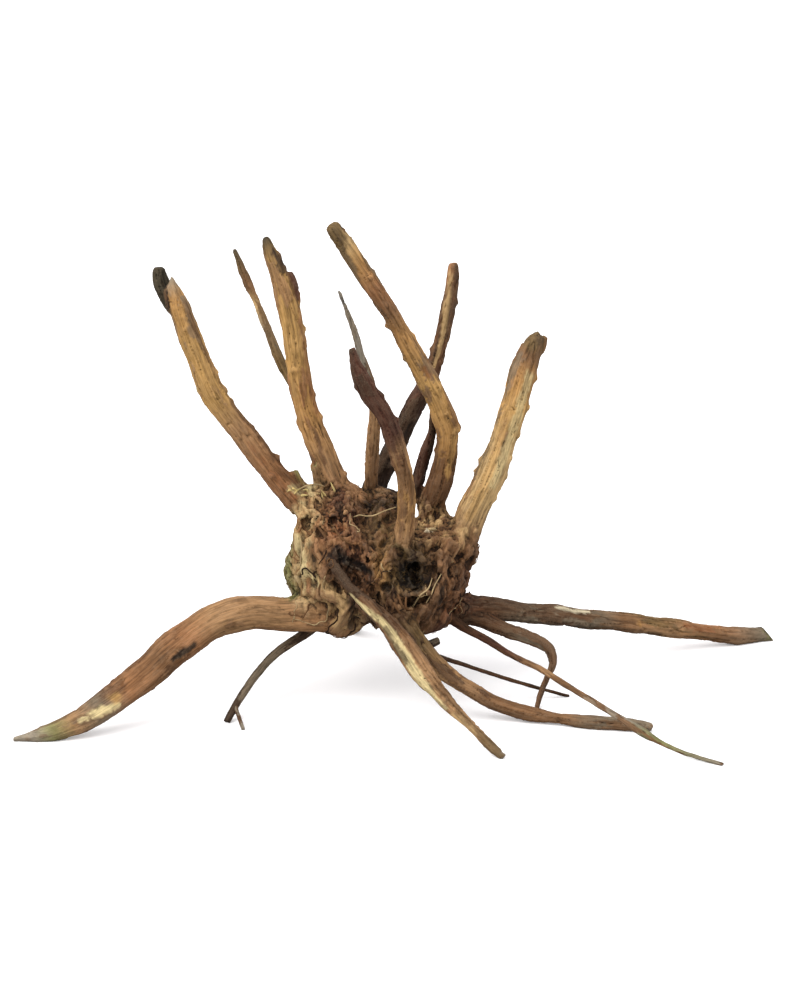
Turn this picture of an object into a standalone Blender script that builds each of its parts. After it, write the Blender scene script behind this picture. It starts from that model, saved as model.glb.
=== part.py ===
"""Driftwood stump: one gnarled root ball with cut branches above it and roots below it.

The wood grew as one piece, so it is one closed solid. Branches, roots and the ridges that run over
the ball are tubes swept along smooth routes. They are merged with the lumps of the ball into one skin,
hollows are carved, and the skin gets its furrows from a formula. A flat cut at floor level leaves the
spots that the wood stands on.

Sizes and places in the tables are millimetres: X to the right, Y away from the viewer and Z up, with
the floor at zero. The finished mesh is in metres.
"""

import math
import random

import bmesh
import bpy
import numpy as np
from mathutils import Matrix, Vector

MM = 0.001

# The ball's middle, and its half width, half depth and half height.
BALL_CENTRE = (-11, 0, 93)
BALL_HALF = (60, 44, 42)

# Grid of the merged skin, and how far the inner corners on it are rounded.
SKIN_GRID = 1.3
CREASE_PASSES = 5

# Furrows on the ball: how far apart, how deep, and how much longer they are up and down than across.
FURROW_SPACING = 13.0
FURROW_DEPTH = 6.2
FURROW_STRETCH = 1.35
FURROW_SEED = 11
# How far the furrows wander, and over what distance.
FURROW_BEND = 6.0
FURROW_BEND_SPACING = 22.0
# Swellings along the branches and roots.
SWELL_SPACING = 24.0
SWELL_HEIGHT = 1.2
SWELL_SEED = 23

# How oval and how fluted a branch is, as shares of its radius, and the length of one turn of the flutes.
OVAL = 0.09
FLUTE = 0.06
FLUTE_TURN = 210.0

# Small bud stubs spread along the branches.
STUB_SPACING = 30.0
STUB_REACH = (1.2, 2.8)
STUB_RADIUS = (1.8, 2.8)
STUB_LEAST_BRANCH = 4.5
STUB_SEED = 5

# Sides and ring distance of the swept tubes.
TUBE_SIDES = 14
TUBE_STEP = 3.0
THIN_SIDES = 6
THIN_STEP = 9.0

SKIN_TRIANGLES = 10400
CUT_DEPTH = 40

# The origin that the finished part gets: on the floor, under the middle of its box.
ORIGIN = (11.5, -3.0, 0.0)

# Flat cuts: a point on the cut, the way its face looks, and the width of wood that it goes through.
CUTS = {
    "floor": ((0, 0, 0), (0, 0, -1), 900),
    "right_root_end": ((279, 108, 0), (0.75, 0.25, 0.6), 40),
}

WOOD_COLOUR = (0.21, 0.125, 0.065, 1.0)
WOOD_ROUGHNESS = 0.8

# Each limb is its route from inside the ball to its tip: x, y, z and radius.
BRANCHES = {
    "upper_left": [
        (-44, -4, 106, 9.6), (-59, -8, 129, 9.2), (-76, -12, 151, 8.5), (-91, -16, 171, 8.0),
        (-105, -19, 192, 7.7), (-118, -22, 211, 7.8), (-127, -25, 227, 8.4), (-133, -29, 246, 7.4),
        (-140, -33, 266, 7.0), (-144, -36, 281, 6.2), (-147, -38, 293, 4.1), (-149, -39, 303, 1.6),
    ],
    "thin_rear": [
        (-43, 30, 127, 4.9), (-61, 44, 168, 3.9), (-73, 54, 203, 3.6), (-83, 60, 223, 3.3),
        (-92, 65, 244, 3.1), (-100, 69, 264, 3.0), (-108, 72, 282, 2.8), (-116, 75, 302, 2.5),
    ],
    "left_centre": [
        (-36, 2, 122, 10.4), (-42, 6, 144, 9.2), (-49, 10, 163, 8.3), (-57, 13, 180, 8.0),
        (-64, 15, 199, 7.8), (-68, 17, 218, 7.6), (-70, 18, 239, 7.7), (-73, 18, 261, 8.2),
        (-77, 16, 281, 7.5), (-81, 14, 297, 6.0), (-86, 13, 308, 4.2), (-90, 12, 320, 2.2),
    ],
    "front": [
        (-1, -34, 99, 9.0), (3, -40, 127, 8.2), (5, -46, 151, 7.5), (3, -52, 174, 6.9),
        (-3, -60, 198, 6.5), (-10, -68, 218, 6.8), (-19, -74, 233, 6.5), (-26, -79, 249, 5.6),
        (-30, -83, 265, 3.6),
    ],
    "whip": [
        (-21, 22, 127, 5.4), (-20, 20, 145, 4.8), (-19, 18, 162, 4.5), (-18, 14, 180, 4.2),
        (-17, 9, 198, 3.9), (-20, 3, 218, 3.5), (-25.5, -3, 241, 3.0), (-29.5, -6, 258, 2.8),
        (-34.5, -9, 273, 2.6), (-40.5, -12, 289, 2.2),
    ],
    "rear_right": [
        (-20, 34, 124, 9.9), (-15, 38, 143, 8.8), (-5, 43, 163, 8.0), (4, 49, 180, 7.3),
        (12, 55, 195, 6.9), (21, 61, 210, 6.3), (27, 65, 226, 5.9), (32, 69, 244, 5.7),
        (35, 72, 261, 5.6), (38, 75, 278, 5.4), (38, 76, 292, 4.0),
    ],
    "tall": [
        (17, 2, 104, 10.2), (22, 6, 132, 9.4), (28, 5, 153, 8.6), (32, 1, 173, 8.0),
        (33, -4, 190, 7.8), (29, -8, 204, 7.7), (23, -13, 220, 7.5), (15, -18, 237, 7.1),
        (6, -23, 254, 6.7), (-4, -28, 273, 6.5), (-15, -33, 292, 6.4), (-26, -38, 309, 6.3),
        (-36, -43, 325, 6.0), (-44, -47, 338, 4.8),
    ],
    "right": [
        (30, -10, 94, 12.0), (42, -8, 115, 11.4), (52, -4, 136, 10.6), (62, 2, 156, 10.0),
        (71, 9, 179, 9.7), (79, 16, 202, 9.5), (85, 22, 222, 9.3), (91, 27, 238, 8.2),
        (96, 31, 251, 3.4),
    ],
}

# Forks, spurs and a twig that grow from a branch.
SPURS = {
    "blackened_fork": [
        (-143, -36, 275, 4.2), (-149, -34, 282, 4.8), (-154, -31, 291, 5.4), (-157, -29, 299, 5.6),
        (-158, -28, 307, 4.0),
    ],
    "left_centre_spur": [(-76, 20, 270, 4.6), (-77, 20, 284, 4.2), (-78, 20, 297, 3.4), (-80, 20, 309, 2.2)],
    "cross_twig": [
        (10, 16, 133, 4.9), (15, 13, 157, 3.8), (19, 9, 174, 3.6), (23, 4, 190, 3.7),
        (25, -2, 205, 3.9), (27, -9, 217, 4.1),
    ],
}

# Broken splinters that stand on top of the ball between the branches.
SPLINTERS = {
    "beside_upper_left": [(-66, -8, 146, 5.5), (-71, -9, 164, 2.8)],
    "beside_left_centre": [(-54, 1, 142, 4.8), (-59, 2, 164, 2.6)],
    "between": [(-60, -6, 138, 6.0), (-62, -7, 152, 3.4)],
    "behind_front": [(-12, -10, 128, 6.0), (-10, -12, 144, 3.2)],
    "rear": [(2, 22, 126, 6.5), (4, 25, 141, 3.0)],
}

# Buds and broken twigs at places of their own: the height on the branch, the direction round it
# (0 is to the right, 90 to the rear), how far it reaches past the bark, and its radius.
BUDS = {
    "upper_left": [
        (217, 0, 2.6, 2.8), (224, 170, 2.4, 3.2), (209, 10, 2.0, 2.2), (190, 0, 2.0, 2.2),
        (166, 15, 4.0, 3.2), (150, 60, 3.0, 2.6), (137, 200, 2.0, 3.0),
    ],
    "left_centre": [
        (206, 0, 2.4, 2.4), (189, 0, 2.4, 2.4), (191, 180, 2.2, 2.4), (160, 180, 5.0, 3.6),
        (146, 190, 5.0, 4.0), (232, 200, 2.0, 2.2), (252, 20, 2.0, 2.6),
    ],
    "tall": [(268, 190, 3.4, 2.6), (246, 200, 2.4, 2.4), (300, 20, 1.8, 2.2), (190, -20, 2.6, 3.0)],
    "front": [(238, 180, 3.0, 2.8), (226, 20, 2.0, 2.4), (180, 190, 1.8, 2.2), (255, 150, 3.0, 2.2)],
    "right": [
        (160, 180, 2.4, 2.4), (152, 185, 2.4, 2.2), (220, 0, 2.4, 2.4), (201, -10, 2.6, 2.2),
        (183, 0, 2.4, 2.2), (167, -10, 2.4, 2.2), (157, 5, 2.4, 2.2), (142, 0, 2.2, 2.4),
    ],
    "rear_right": [(262, 0, 1.8, 2.2), (228, 180, 2.0, 2.2), (203, 30, 2.0, 2.4)],
    "whip": [(236, 200, 1.6, 1.8), (216, 190, 2.0, 2.0), (206, 170, 1.8, 1.8)],
}

ROOTS = {
    "left": [
        (-31, -20, 61, 10.8), (-48, -22, 64, 11.8), (-65, -22, 65.5, 11.6), (-82, -23, 65, 11.3),
        (-102, -26, 67, 11.2), (-121, -31, 64, 11.4), (-139, -39, 56, 11.4), (-156, -49, 45, 11.1),
        (-173, -62, 33, 10.5), (-191, -75, 22, 9.6), (-208, -85, 13.5, 8.5), (-225, -91, 7.0, 6.6),
        (-240, -94, 3.3, 4.7), (-258, -96, 1.0, 2.2),
    ],
    "right": [
        (25, 0, 60, 12.5), (45, 4, 60, 9.0), (64, 10, 57.5, 7.8), (86, 20, 51.5, 7.2),
        (110, 32, 45.5, 7.0), (132, 45, 38, 6.8), (161, 60, 30, 6.7), (192, 75, 21, 6.7),
        (223, 88, 12.8, 6.5), (253, 99, 6.2, 6.2), (272, 106, 4.5, 5.8), (290, 112, 3.6, 5.4),
    ],
    "hooked": [
        (33, 2, 58, 7.4), (56, 0, 53, 5.7), (74, -4, 47, 5.3), (91, -9, 42.5, 4.9),
        (104, -13, 36.5, 4.5), (107, -18, 27, 3.8), (102, -25, 17, 3.1), (97, -32, 7, 2.8),
        (95, -38, 0.5, 2.7),
    ],
    "lower_right": [
        (-6, -40, 80, 7.5), (2, -45, 67, 7.5), (13, -48, 52, 6.8), (25, -51, 38, 6.1),
        (36, -53, 29, 5.5), (48, -55, 21.5, 5.1), (63, -57, 13, 4.9), (82, -59, 7.0, 4.7),
        (105, -65, 4.6, 4.7), (132, -72, 4.0, 4.6), (150, -75, 3.9, 4.5), (171, -79, 3.6, 3.4),
    ],
    "front_ridge": [
        (-46, -44, 109, 2.9), (-41, -49, 104, 3.5), (-33, -53, 94, 3.6), (-23, -56, 85, 4.4),
        (-13, -60, 74, 4.7),
    ],
    "front": [
        (-29, -42, 86, 4.4), (-20, -51, 79, 5.4), (-9, -61, 72, 6.0), (1, -71, 62, 6.3),
        (9, -80, 52, 6.8), (18, -90, 42, 6.4), (29, -99, 32, 5.2), (39, -106, 23.5, 4.3),
        (49, -113, 15.5, 3.9), (58, -119, 8.2, 3.5), (69, -127, 0.6, 2.9),
    ],
    "front_under": [
        (-10, -55, 71, 3.9), (-2, -66, 61, 4.1), (5, -77, 51.5, 4.2), (12, -85, 44.5, 4.0), (20, -93, 37.5, 3.3),
    ],
    "rear": [
        (-12, 26, 84, 12.0), (-17, 52, 72, 10.6), (-22, 78, 56, 9.6), (-27, 98, 36, 8.4),
        (-31, 112, 17, 7.0), (-34, 124, 3.5, 5.0), (-36, 132, 0.5, 3.2),
    ],
    "rear_left": [
        (-44, 20, 84, 9.5), (-54, 40, 76, 8.2), (-58, 58, 62, 6.6), (-60, 70, 46, 5.0),
        (-63, 78, 30, 3.8), (-67, 83, 18, 3.0),
    ],
    "rear_stub": [(20, 24, 88, 9.0), (33, 44, 84, 8.0), (42, 62, 77, 6.8)],
}

# Roots too thin for the merged skin.
THIN_ROOTS = {
    "thin_left": [
        (-40, -10, 62, 4.6), (-54, -12, 55, 3.8), (-68, -16, 46, 3.3), (-81, -22, 39, 3.0),
        (-91, -30, 32, 2.8), (-101, -40, 22, 2.6), (-110, -52, 11, 2.4), (-117, -63, 0.8, 2.2),
    ],
    "thin_left_fork": [(-109, -51, 12, 1.7), (-111, -56, 8, 1.6), (-109, -63, 5, 1.4), (-105, -76, 0.4, 1.2)],
    "long_thin": [
        (27, -4, 61, 4.4), (33, -8, 58.5, 3.9), (45, -14, 51.5, 3.3), (60, -24, 46.5, 2.9),
        (77, -38, 40, 2.5), (96, -52, 35, 2.4), (114, -67, 28, 2.3), (131, -82, 22, 2.2),
        (147, -97, 16.5, 2.2), (160, -107, 11, 3.0), (172, -115, 6.5, 1.9), (188, -126, 3.2, 1.7),
        (210, -138, 0.6, 1.3),
    ],
    "hair": [
        (0, -26, 60, 2.4), (9, -32, 49, 1.9), (17, -34, 41.5, 1.6), (32, -32, 35, 1.5),
        (48, -28, 28, 1.4), (70, -23, 18.5, 1.3), (91, -19, 10.5, 1.2), (106, -16, 5, 1.1),
        (119, -13, 0.4, 1.0),
    ],
    "short": [(4, -30, 54, 3.2), (11, -32, 46, 2.9), (19, -27, 43, 2.9), (27, -20, 44, 2.4)],
}

# Ridges that flow over the ball from the branches to the roots.
BALL_RIDGES = {
    "left_outer": [(-62, -16, 144, 6.0), (-65, -20, 124, 6.0), (-67, -22, 102, 6.0), (-62, -24, 80, 6.0)],
    "left_inner": [(-52, -24, 148, 5.5), (-56, -33, 126, 5.5), (-54, -38, 107, 5.0), (-47, -41, 92, 4.5)],
    "centre_left": [(-42, -14, 148, 6.0), (-36, -30, 134, 5.5), (-27, -39, 121, 4.5), (-16, -43, 111, 4.5)],
    "centre": [(-1, -40, 117, 5.5), (-9, -44, 102, 5.0), (-6, -45, 86, 5.0), (2, -44, 68, 5.5)],
    "right": [(35, -26, 118, 6.0), (29, -36, 101, 5.5), (24, -39, 83, 5.5), (14, -38, 67, 6.0)],
    "right_outer": [(43, -10, 116, 6.5), (42, -18, 96, 6.0), (36, -20, 78, 6.5), (26, -16, 64, 6.5)],
    "cavity_sill": [(-6, -44, 89, 3.4), (6, -45, 86, 3.7), (20, -42, 88, 3.4)],
    "collar": [
        (-62, -30, 86, 4.2), (-46, -40, 86, 4.8), (-36, -41, 79, 5.0), (-37, -38, 68, 5.2), (-45, -30, 55, 4.8),
    ],
    "collar_rear": [(-30, -30, 79, 6.0), (-25, -28, 69, 5.6), (-30, -24, 57, 5.0), (-36, -20, 49, 3.2)],
    "rear_left": [(-52, 18, 128, 8.0), (-60, 22, 108, 7.0), (-56, 26, 88, 7.0), (-44, 28, 72, 7.0)],
    "rear_middle": [(-24, 36, 128, 8.0), (-26, 46, 108, 7.0), (-20, 48, 90, 7.5), (-12, 42, 74, 8.0)],
    "rear_right": [(26, 22, 116, 8.0), (31, 31, 100, 7.5), (27, 34, 84, 7.5), (18, 32, 70, 7.0)],
}

# Lumps of the ball: the centre, and half the width, depth and height.
LUMPS = [
    ((-11, -2, 92), (48, 41, 38)),
    ((-44, -9, 100), (27, 34, 40)),
    ((-64, -4, 84), (12, 17, 16)),
    ((23, -5, 91), (26, 33, 33)),
    ((-53, -4, 126), (17, 21, 22)),
    ((-38, 3, 130), (19, 23, 21)),
    ((-12, 10, 121), (22, 26, 16)),
    ((33, -2, 106), (20, 23, 21)),
    ((8, -12, 64), (30, 28, 17)),
    ((-40, -16, 62), (17, 20, 15)),
    ((-27, 28, 98), (29, 22, 32)),
    ((18, 25, 92), (24, 22, 24)),
]

# Hollows carved into the ball: the centre, the half sizes, and the turn about Y in degrees.
HOLLOWS = [
    ((8, -46, 103), (7.5, 20, 10.0), 8),
    ((-29, -46, 106), (14, 12, 4.6), 28),
    ((-9, -54, 91), (4.0, 13, 3.2), 0),
    ((-19, -46, 77), (9, 15, 4.0), 38),
    ((-59, -40, 112), (2.6, 12, 9), -12),
    ((30, -40, 127), (6, 13, 5), 0),
    ((-16, -38, 136), (7, 12, 6), -20),
    ((-8, 52, 112), (8, 16, 11), 12),
    ((-44, 46, 84), (9, 14, 6), -20),
]


def smooth_route(rows, step):
    """Rows of x, y, z and radius at even steps on a smooth curve through the given rows."""
    rows = np.array(rows, dtype=float)
    ends = np.vstack([2 * rows[0] - rows[1], rows, 2 * rows[-1] - rows[-2]])
    fine = []
    for before, start, stop, after in zip(ends, ends[1:], ends[2:], ends[3:]):
        for share in np.linspace(0.0, 1.0, 12, endpoint=False):
            fine.append(0.5 * (
                2 * start + (stop - before) * share
                + (2 * before - 5 * start + 4 * stop - after) * share ** 2
                + (3 * start - before - 3 * stop + after) * share ** 3
            ))
    fine = np.array(fine + [rows[-1]])
    along = np.concatenate([[0], np.cumsum(np.linalg.norm(np.diff(fine[:, :3], axis=0), axis=1))])
    stations = np.linspace(0, along[-1], max(3, round(along[-1] / step) + 1))
    return np.column_stack([np.interp(stations, along, fine[:, column]) for column in range(4)])


def add_tube(mesh, rows, sides=TUBE_SIDES, step=TUBE_STEP):
    """Sweep a slightly oval, fluted tube along the route and close both ends."""
    route = smooth_route(rows, step)
    places = [Vector(row[:3]) for row in route]
    across = (places[1] - places[0]).orthogonal()
    previous = None
    for index, (place, radius) in enumerate(zip(places, route[:, 3])):
        forward = (places[min(index + 1, len(places) - 1)] - places[max(index - 1, 0)]).normalized()
        across = (across - forward * across.dot(forward)).normalized()
        beside = forward.cross(across)
        flute_turn = 2 * math.pi * index * step / FLUTE_TURN
        ring = []
        for side in range(sides):
            angle = 2 * math.pi * side / sides
            reach = radius * (1 + OVAL * math.cos(2 * angle) + FLUTE * math.cos(3 * angle + flute_turn))
            ring.append(mesh.verts.new(place + (across * math.cos(angle) + beside * math.sin(angle)) * reach))
        if previous:
            for side in range(sides):
                after = (side + 1) % sides
                mesh.faces.new((previous[side], previous[after], ring[after], ring[side]))
        else:
            mesh.faces.new(ring)
        previous = ring
    mesh.faces.new(previous)


def add_bud(mesh, route, index, turn, reach, radius):
    """Grow a short tapered stub out of the branch at one point of its route."""
    place = Vector(route[index, :3])
    forward = Vector(route[index + 1, :3] - route[index - 1, :3]).normalized()
    outward = Vector((math.cos(turn), math.sin(turn), 0.0))
    outward = (outward - forward * outward.dot(forward)).normalized()
    tip = place + (outward + forward * 0.35).normalized() * (route[index, 3] + reach)
    add_tube(mesh, [(*place, radius * 1.7), (*tip, radius * 0.8)], sides=8, step=2.0)


def add_buds(mesh, name, rows, rng):
    """Add a branch's own buds, and a few more at places that the seed settles."""
    route = smooth_route(rows, 1.0)
    for height, degrees, reach, radius in BUDS.get(name, []):
        index = int(np.argmin(np.abs(route[:, 2] - height)))
        add_bud(mesh, route, min(max(index, 1), len(route) - 2), math.radians(degrees), reach, radius)
    station = STUB_SPACING
    while station < len(route) - STUB_SPACING:
        if route[int(station), 3] > STUB_LEAST_BRANCH:
            turn = rng.uniform(0, 2 * math.pi)
            add_bud(mesh, route, int(station), turn, rng.uniform(*STUB_REACH), rng.uniform(*STUB_RADIUS))
        station += STUB_SPACING * rng.uniform(0.6, 1.4)


def add_lump(mesh, centre, half, turn=0.0):
    """Add an egg-shaped lump with the given half sizes, turned about the Y axis."""
    placing = Matrix.Translation(centre) @ Matrix.Rotation(math.radians(turn), 4, "Y")
    bmesh.ops.create_icosphere(mesh, subdivisions=4, radius=1.0, matrix=placing @ Matrix.Diagonal((*half, 1)))


def make_object(name, mesh):
    """Put a bmesh in the scene as an object."""
    bmesh.ops.recalc_face_normals(mesh, faces=mesh.faces)
    data = bpy.data.meshes.new(name)
    mesh.to_mesh(data)
    mesh.free()
    made = bpy.data.objects.new(name, data)
    bpy.context.scene.collection.objects.link(made)
    return made


def settle(target):
    """Turn what the object's modifiers make into its own mesh."""
    evaluated = target.evaluated_get(bpy.context.evaluated_depsgraph_get())
    data = bpy.data.meshes.new_from_object(evaluated)
    target.modifiers.clear()
    target.data = data


def remesh(target):
    """Merge everything in the object into one skin on an even grid."""
    merge = target.modifiers.new("merge", "REMESH")
    merge.mode = "VOXEL"
    merge.voxel_size = SKIN_GRID
    settle(target)


def combine(target, other, operation):
    """Join another object to the target or cut it away, and remove it from the scene."""
    boolean = target.modifiers.new("combine", "BOOLEAN")
    boolean.operation = operation
    boolean.object = other
    settle(target)
    bpy.data.objects.remove(other)


def read_rows(items, name):
    """A three-number property of every item, as an array with one row for each."""
    values = np.empty(len(items) * 3)
    items.foreach_get(name, values)
    return values.reshape(-1, 3)


def move_points(data, points):
    """Put the mesh's points at the given places."""
    data.vertices.foreach_set("co", points.ravel())
    data.update()


def smooth_noise(points, spacing, seed):
    """Values between about -1 and 1 that change smoothly over the given spacing."""
    scaled = points / spacing
    cell = np.floor(scaled).astype(np.int64)
    part = scaled - cell
    fade = part ** 3 * (part * (part * 6 - 15) + 10)
    total = np.zeros(len(points))
    for corner in np.ndindex(2, 2, 2):
        key = (cell + corner) @ np.array([73856093, 19349663, 83492791]) + seed * 2654435761
        key = (key ^ (key >> 15)) * 2246822519 & 0xFFFFFFFF
        key = (key ^ (key >> 13)) * 3266489917 & 0xFFFFFFFF
        angle = (key & 0xFFFF) / 0xFFFF * 2 * np.pi
        height = (key >> 16) / 0xFFFF * 2 - 1
        level = np.sqrt(1 - height ** 2)
        apart = part - corner
        slope = apart[:, 0] * level * np.cos(angle) + apart[:, 1] * level * np.sin(angle) + apart[:, 2] * height
        total += slope * np.prod(np.where(corner, fade, 1 - fade), axis=1)
    return 1.8 * total


def ball_share(points):
    """1 on the ball, falling to 0 a little way out along the limbs."""
    reach = np.linalg.norm((points - BALL_CENTRE) / BALL_HALF, axis=1)
    share = np.clip((1.4 - reach) / 0.35, 0, 1)
    return share ** 2 * (3 - 2 * share)


def relief(points):
    """How far the skin stands out or in at each point: furrows on the ball, swellings on the limbs."""
    bend = [smooth_noise(points, FURROW_BEND_SPACING, FURROW_SEED + axis) for axis in (1, 2, 3)]
    bent = (points + FURROW_BEND * np.column_stack(bend)) / (1, 1, FURROW_STRETCH)
    broad = 1 - 2.4 * np.abs(smooth_noise(bent, FURROW_SPACING, FURROW_SEED))
    narrow = 1 - 2.4 * np.abs(smooth_noise(bent, FURROW_SPACING * 0.5, FURROW_SEED + 4))
    furrows = FURROW_DEPTH * (0.65 * broad + 0.35 * narrow - 0.3)
    swell = SWELL_HEIGHT * smooth_noise(points, SWELL_SPACING, SWELL_SEED)
    share = ball_share(points)
    return share * furrows + (1 - share) * swell


def round_creases(data):
    """Fill the inner corners where limbs meet, and leave the outer sides nearly as they are."""
    edges = np.empty(len(data.edges) * 2, dtype=np.int64)
    data.edges.foreach_get("vertices", edges)
    start, stop = edges.reshape(-1, 2).T
    count = np.bincount(edges)
    for _ in range(CREASE_PASSES):
        points = read_rows(data.vertices, "co")
        mean = np.empty_like(points)
        for axis in range(3):
            total = np.bincount(start, points[stop, axis], len(points))
            total += np.bincount(stop, points[start, axis], len(points))
            mean[:, axis] = total / count
        move = mean - points
        outward = np.sum(move * read_rows(data.vertices, "normal"), axis=1)
        move_points(data, points + move * np.where(outward > 0, 0.6, 0.12)[:, None])


def make_skin():
    """Merge the ball, its ridges, the branches and the thicker roots into one furrowed skin."""
    mesh = bmesh.new()
    for centre, half in LUMPS:
        add_lump(mesh, centre, half)
    rng = random.Random(STUB_SEED)
    for name, rows in BRANCHES.items():
        add_tube(mesh, rows)
        add_buds(mesh, name, rows, rng)
    for table in (SPURS, SPLINTERS, ROOTS, BALL_RIDGES):
        for rows in table.values():
            add_tube(mesh, rows)
    skin = make_object("driftwood_trunk", mesh)
    remesh(skin)

    cutter = bmesh.new()
    for centre, half, turn in HOLLOWS:
        add_lump(cutter, centre, half, turn)
    combine(skin, make_object("hollows", cutter), "DIFFERENCE")
    round_creases(skin.data)
    points = read_rows(skin.data.vertices, "co")
    normals = read_rows(skin.data.vertices, "normal")
    move_points(skin.data, points + normals * relief(points)[:, None])
    remesh(skin)
    return skin


def thin_out(target):
    """Keep few triangles, most of them where the skin bends."""
    target.data.calc_loop_triangles()
    thin = target.modifiers.new("thin", "DECIMATE")
    thin.ratio = SKIN_TRIANGLES / len(target.data.loop_triangles)
    thin.use_collapse_triangulate = True
    settle(target)


def add_thin_roots(target):
    """Join the roots that are too thin for the merged skin."""
    for name, rows in THIN_ROOTS.items():
        mesh = bmesh.new()
        add_tube(mesh, rows, THIN_SIDES, THIN_STEP)
        combine(target, make_object(name, mesh), "UNION")


def cut_flat(target, point, normal, width):
    """Cut off everything on the side of a plane that its normal points to, within the given width."""
    facing = Vector(normal).to_track_quat("Z", "Y").to_matrix().to_4x4()
    shift = Matrix.Translation((0, 0, CUT_DEPTH / 2))
    size = Matrix.Diagonal((width, width, CUT_DEPTH, 1))
    mesh = bmesh.new()
    bmesh.ops.create_cube(mesh, size=1.0, matrix=Matrix.Translation(point) @ facing @ shift @ size)
    combine(target, make_object("cut", mesh), "DIFFERENCE")


def place(target):
    """Give the trunk its real size, and its origin on the floor under its middle."""
    target.data.transform(Matrix.Scale(MM, 4) @ Matrix.Translation(-Vector(ORIGIN)))


def make_wood():
    """Weathered brown wood."""
    wood = bpy.data.materials.new("weathered_wood")
    wood.use_nodes = True
    shader = wood.node_tree.nodes["Principled BSDF"]
    shader.inputs["Base Color"].default_value = WOOD_COLOUR
    shader.inputs["Roughness"].default_value = WOOD_ROUGHNESS
    shader.inputs["Metallic"].default_value = 0.0
    return wood


def main():
    """Build the trunk."""
    for old in list(bpy.data.objects):
        bpy.data.objects.remove(old)
    trunk = make_skin()
    thin_out(trunk)
    add_thin_roots(trunk)
    for point, normal, width in CUTS.values():
        cut_flat(trunk, point, normal, width)
    place(trunk)
    trunk.data.materials.clear()
    trunk.data.materials.append(make_wood())
    trunk.data.shade_smooth()


main()
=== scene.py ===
"""Driftwood stump: one gnarled root ball with cut branches above it and long roots below it.

The wood grew as one piece, so its branches, roots and ball are merged into one skin here too. Fine
relief follows the grain of every limb, and each point of the skin carries its colour, its place along
the limb and how worn it is, which the wood's finish reads: crests wear pale, and creases are darkened
as painted shade. The colour holds painted shade as well, in the carved hollows, a recess between the
branches and along the shaded sides of several limbs, and painted light on a few lit sides. Roots too
thin for the merged skin and the fibres that cling to the ball are pieces of their own.

Sizes and places are millimetres, X to the right, Y away from the viewer and Z up from the floor, until
a finished mesh is put into the frame in metres.
"""

from __future__ import annotations

import logging
import math
import random
from dataclasses import dataclass, field
from enum import Enum

import bpy
import numpy as np
from mathutils import Matrix, Vector
from mathutils.bvhtree import BVHTree

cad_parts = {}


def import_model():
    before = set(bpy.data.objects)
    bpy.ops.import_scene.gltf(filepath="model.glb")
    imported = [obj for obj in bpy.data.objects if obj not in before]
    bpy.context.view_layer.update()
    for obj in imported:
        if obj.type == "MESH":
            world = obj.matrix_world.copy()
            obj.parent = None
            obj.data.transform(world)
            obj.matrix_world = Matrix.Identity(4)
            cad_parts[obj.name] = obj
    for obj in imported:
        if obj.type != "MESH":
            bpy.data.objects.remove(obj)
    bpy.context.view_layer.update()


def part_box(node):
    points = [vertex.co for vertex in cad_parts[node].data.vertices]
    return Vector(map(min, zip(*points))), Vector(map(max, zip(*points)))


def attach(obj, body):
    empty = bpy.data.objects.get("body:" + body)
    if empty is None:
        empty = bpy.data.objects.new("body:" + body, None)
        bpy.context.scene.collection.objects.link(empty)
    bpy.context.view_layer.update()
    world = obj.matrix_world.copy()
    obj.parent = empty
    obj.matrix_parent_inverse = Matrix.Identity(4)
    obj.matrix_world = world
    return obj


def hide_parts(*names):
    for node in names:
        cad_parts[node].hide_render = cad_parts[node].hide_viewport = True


Array = np.ndarray
Rows = list[tuple[float, ...]]

LOG = logging.getLogger("driftwood")
NODE = "driftwood_trunk"
MM = 0.001
# The frame's origin, in the millimetres of the tables.
ORIGIN = np.array((11.5, -3.0, 0.0))
# A tone is written as it looks in a bright room, and the wood gives back this share of its light.
ROOM_SHARE = 0.56
# The slanted cut that ends the long right root: a place on it, the way it faces, the way the root runs,
# and how near to the place a point of the root's end is.
CUT_PLACE = np.array((279, 108, 0))
CUT_FACING = np.array((0.75, 0.25, 0.6))
CUT_TRAVEL = np.array((0.95, 0.32, -0.05))
CUT_REACH = 40


class Tone(Enum):
    """Colours of the wood, as red, green and blue from 0 to 255."""

    STRAW = (226, 204, 150)
    YELLOW = (242, 214, 144)
    CHIP = (238, 224, 190)
    FIBRE = (208, 180, 134)
    HONEY = (208, 162, 98)
    OCHRE = (193, 144, 85)
    PALE_TAN = (206, 170, 117)
    TAN = (172, 131, 90)
    CLAY = (160, 111, 72)
    RUST = (150, 92, 54)
    BROWN = (128, 91, 59)
    UMBER = (102, 68, 42)
    MAROON = (90, 54, 40)
    OLIVE = (112, 88, 52)
    DARK = (58, 38, 24)
    BLACKENED = (54, 47, 32)
    # Near-black that stands for deep shade: painted in the carved hollows, the hole in the left root, the
    # recess between the branches and the darkest flakes of some ball zones.
    DEEP_SHADE = (16, 9, 5)
    GREY = (156, 144, 126)
    GREY_BROWN = (126, 110, 90)
    SILVER = (152, 146, 138)
    LICHEN = (140, 136, 84)
    MOSS = (112, 110, 60)

    def linear(self) -> Array:
        """The share of light that the tone gives back: the screen's curve undone, times the room's share."""
        share = np.array(self.value) / 255
        return ROOM_SHARE * np.where(share <= 0.04045, share / 12.92, ((share + 0.055) / 1.055) ** 2.4)


# The tones by their short names, for the tables.
(STRAW, YELLOW, CHIP, FIBRE, HONEY, OCHRE, PALE_TAN, TAN, CLAY, RUST, BROWN, UMBER, MAROON, OLIVE, DARK,
 BLACKENED, DEEP_SHADE, GREY, GREY_BROWN, SILVER, LICHEN, MOSS) = Tone

Stops = tuple[tuple[float, Tone], ...]


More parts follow.
